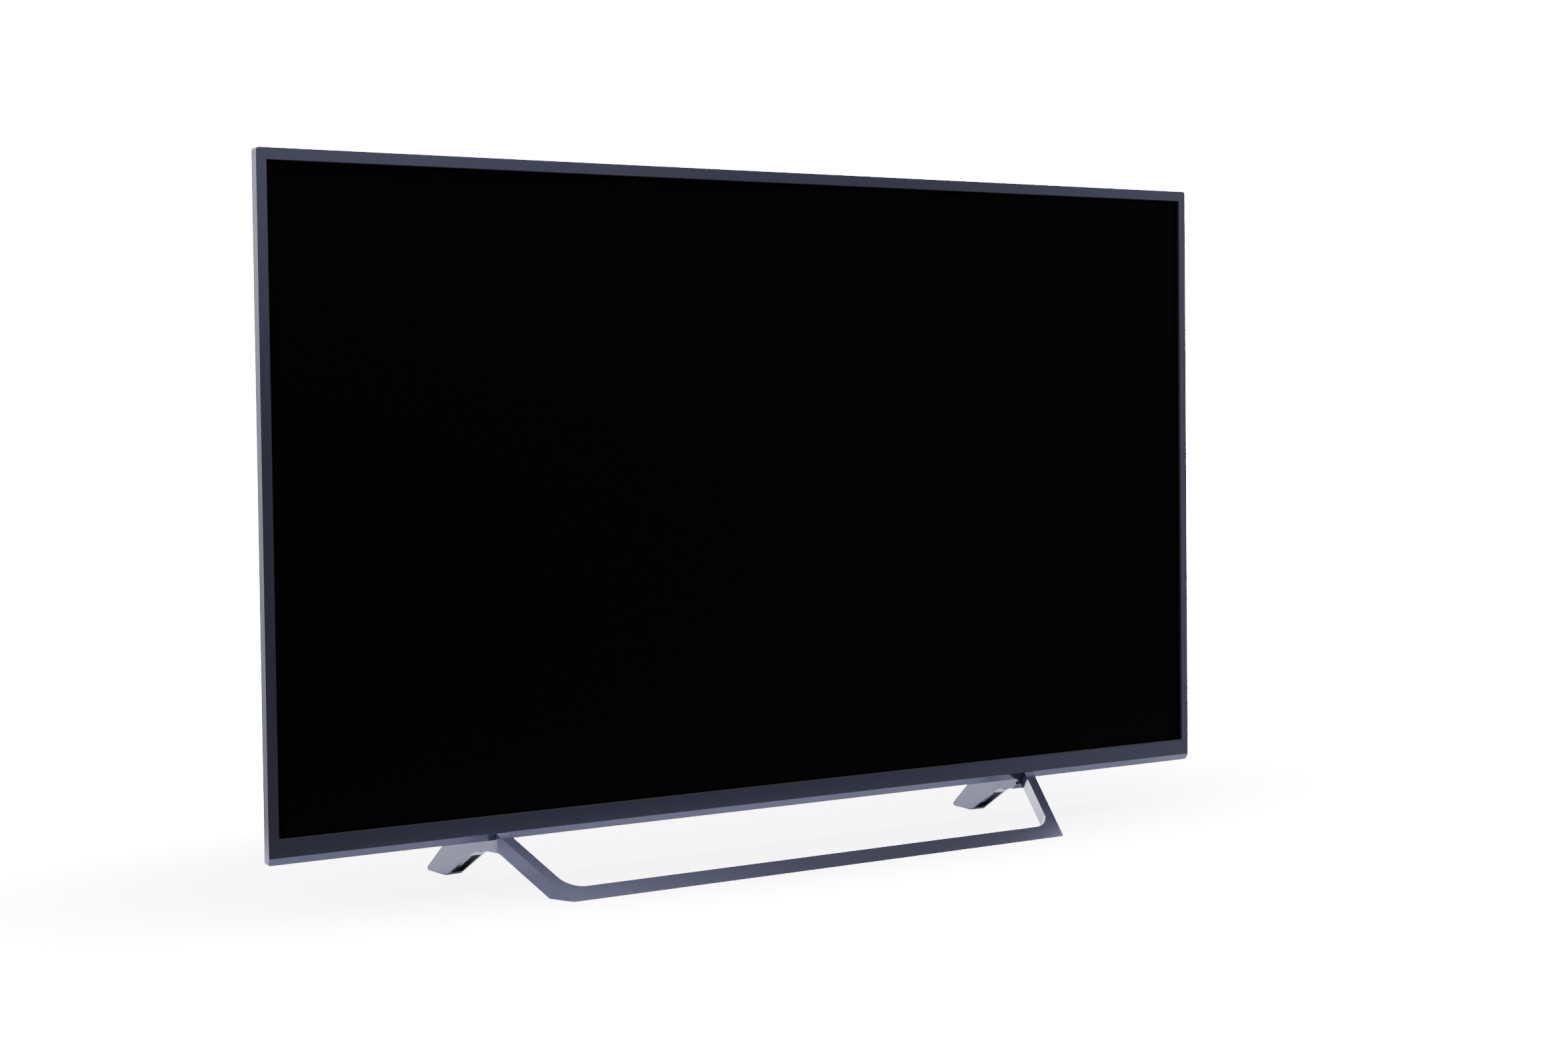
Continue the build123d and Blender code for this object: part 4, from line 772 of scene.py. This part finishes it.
# %% Floor
floor_mesh = bpy.data.meshes.new("floor")
reach = 1.7
floor_mesh.from_pydata(
    [(-reach, -reach, 0), (reach, -reach, 0), (reach, reach, 0), (-reach, reach, 0)], [], [(0, 1, 2, 3)]
)
floor = bpy.data.objects.new("floor", floor_mesh)
bpy.context.scene.collection.objects.link(floor)
paper = Finish("studio_paper", {"Specular IOR Level": 0.15})
paper.set("Base Color", (0.93, 0.93, 0.94, 1.0))
paper.set("Roughness", 0.6 + paper.noise(0.4) * 0.1)
spread = paper.node(
    "ShaderNodeMapping",
    {},
    {"Vector": paper.place, "Location": (0.0, -0.16, 0.0), "Scale": (0.5, 1.2, 0.0)},
)
far = paper.node("ShaderNodeVectorMath", {"operation": "LENGTH"}, {0: spread}, output="Value")
paper.set(
    "Alpha",
    paper.node(
        "ShaderNodeMapRange",
        {"interpolation_type": "SMOOTHERSTEP"},
        {"Value": far, "From Min": 0.2, "From Max": 0.57, "To Min": 0.7, "To Max": 0.0},
    ),
)
floor_mesh.materials.append(paper.material)
print("The floor reaches", reach, "metres each way and fades out before its edge")

# %% World and lamps
world = bpy.data.worlds.new("studio")
world.use_nodes = True
bpy.context.scene.world = world
sky = Graph(world.node_tree)
facing = sky.tree.nodes.new("ShaderNodeSeparateXYZ")
sky.feed(facing.inputs[0], sky.node("ShaderNodeTexCoord", output="Generated"))
east, north, zenith = (Socket(sky, facing.outputs[axis]) for axis in "XYZ")


def ramped(value, low, high):
    """A smooth step from 0 to 1 between two values."""
    return sky.node(
        "ShaderNodeMapRange",
        {"interpolation_type": "SMOOTHSTEP"},
        {"Value": value, "From Min": low, "From Max": high, "To Min": 0.0, "To Max": 1.0},
    )


# Strengths of the dark room, of the light above, beside and behind, and of the backdrop
ROOM, HIGH, SIDE, CEILING, WINDOW, BACKDROP = 0.17, 0.46, 0.36, 1.6, 8.0, 20.0
wall = ramped(north - east * 0.25, -0.1, 0.7) * (1 - ramped(zenith, 0.25, 0.6))
wall_light = wall * (0.8 + ramped(zenith, -0.25, 0.12)) * (1 - ramped(0 - east, 0.2, 0.5) * 0.84)
high_light = ramped(zenith, -0.02, 0.12) * (1 - ramped(east, 0.42, 0.6) * 0.8) * HIGH
room_light = ROOM + high_light + ramped(east, 0.56, 0.7) * SIDE
window_light = ramped(north, 0.972, 0.992) * WINDOW
glow = room_light + ramped(zenith, 0.3, 0.8) * CEILING + wall_light + window_light
seen_directly = sky.node("ShaderNodeLightPath", output="Is Camera Ray")
background = sky.tree.nodes["Background"]
background.inputs["Color"].default_value = (1.0, 1.0, 1.0, 1.0)
sky.feed(background.inputs["Strength"], glow + seen_directly * (BACKDROP - glow))


def soft_lamp(name, place, aim, size, power):
    """A large area lamp that points at a place."""
    lamp = bpy.data.lights.new(name, "AREA")
    lamp.shape = "RECTANGLE"
    lamp.size, lamp.size_y = size
    lamp.energy = power
    holder = bpy.data.objects.new(name, lamp)
    bpy.context.scene.collection.objects.link(holder)
    way = Vector(aim) - Vector(place)
    holder.matrix_world = Matrix.Translation(place) @ way.to_track_quat("-Z", "Y").to_matrix().to_4x4()
    print(name, "at", place)


soft_lamp("overhead_lamp", (0.0, 0.2, 2.6), (0.0, 0.0, 0.2), (2.4, 1.4), 150.0)
soft_lamp("left_lamp", (-2.4, 1.4, 1.0), (0.0, 0.0, 0.4), (1.6, 1.8), 6.0)

# %% [markdown]
# ## The camera
# The camera's place and lens were worked out from the photograph: how the set's four
# corners converge gives the direction, and the sizes of the set give the distance.

# %% The camera
# Its place in metres, its turns in degrees, its lens in millimetres and the lens's shift
EYE = (-1.3498, -2.10405, 0.4592)
YAW, PITCH, ROLL = 32.6073, -1.9657, -0.6648
FOCAL_LENGTH, SHIFT_X, SHIFT_Y = 56.229, 0.01193, -0.02234
yaw, pitch, roll = (math.radians(angle) for angle in (YAW, PITCH, ROLL))
ahead = Vector((math.sin(yaw) * math.cos(pitch), math.cos(yaw) * math.cos(pitch), math.sin(pitch)))
level = Vector((math.cos(yaw), -math.sin(yaw), 0.0))
upright = level.cross(ahead)
side_axis = level * math.cos(roll) + upright * math.sin(roll)
up_axis = upright * math.cos(roll) - level * math.sin(roll)
turned = Matrix((side_axis, up_axis, -ahead)).transposed().to_4x4()
lens = bpy.data.cameras.new("camera")
lens.sensor_width = 36.0
lens.lens = FOCAL_LENGTH
lens.shift_x = SHIFT_X
lens.shift_y = SHIFT_Y
camera = bpy.data.objects.new("camera", lens)
camera.matrix_world = Matrix.Translation(EYE) @ turned
bpy.context.scene.collection.objects.link(camera)
bpy.context.scene.camera = camera
print("The camera stands at", tuple(camera.matrix_world.translation))
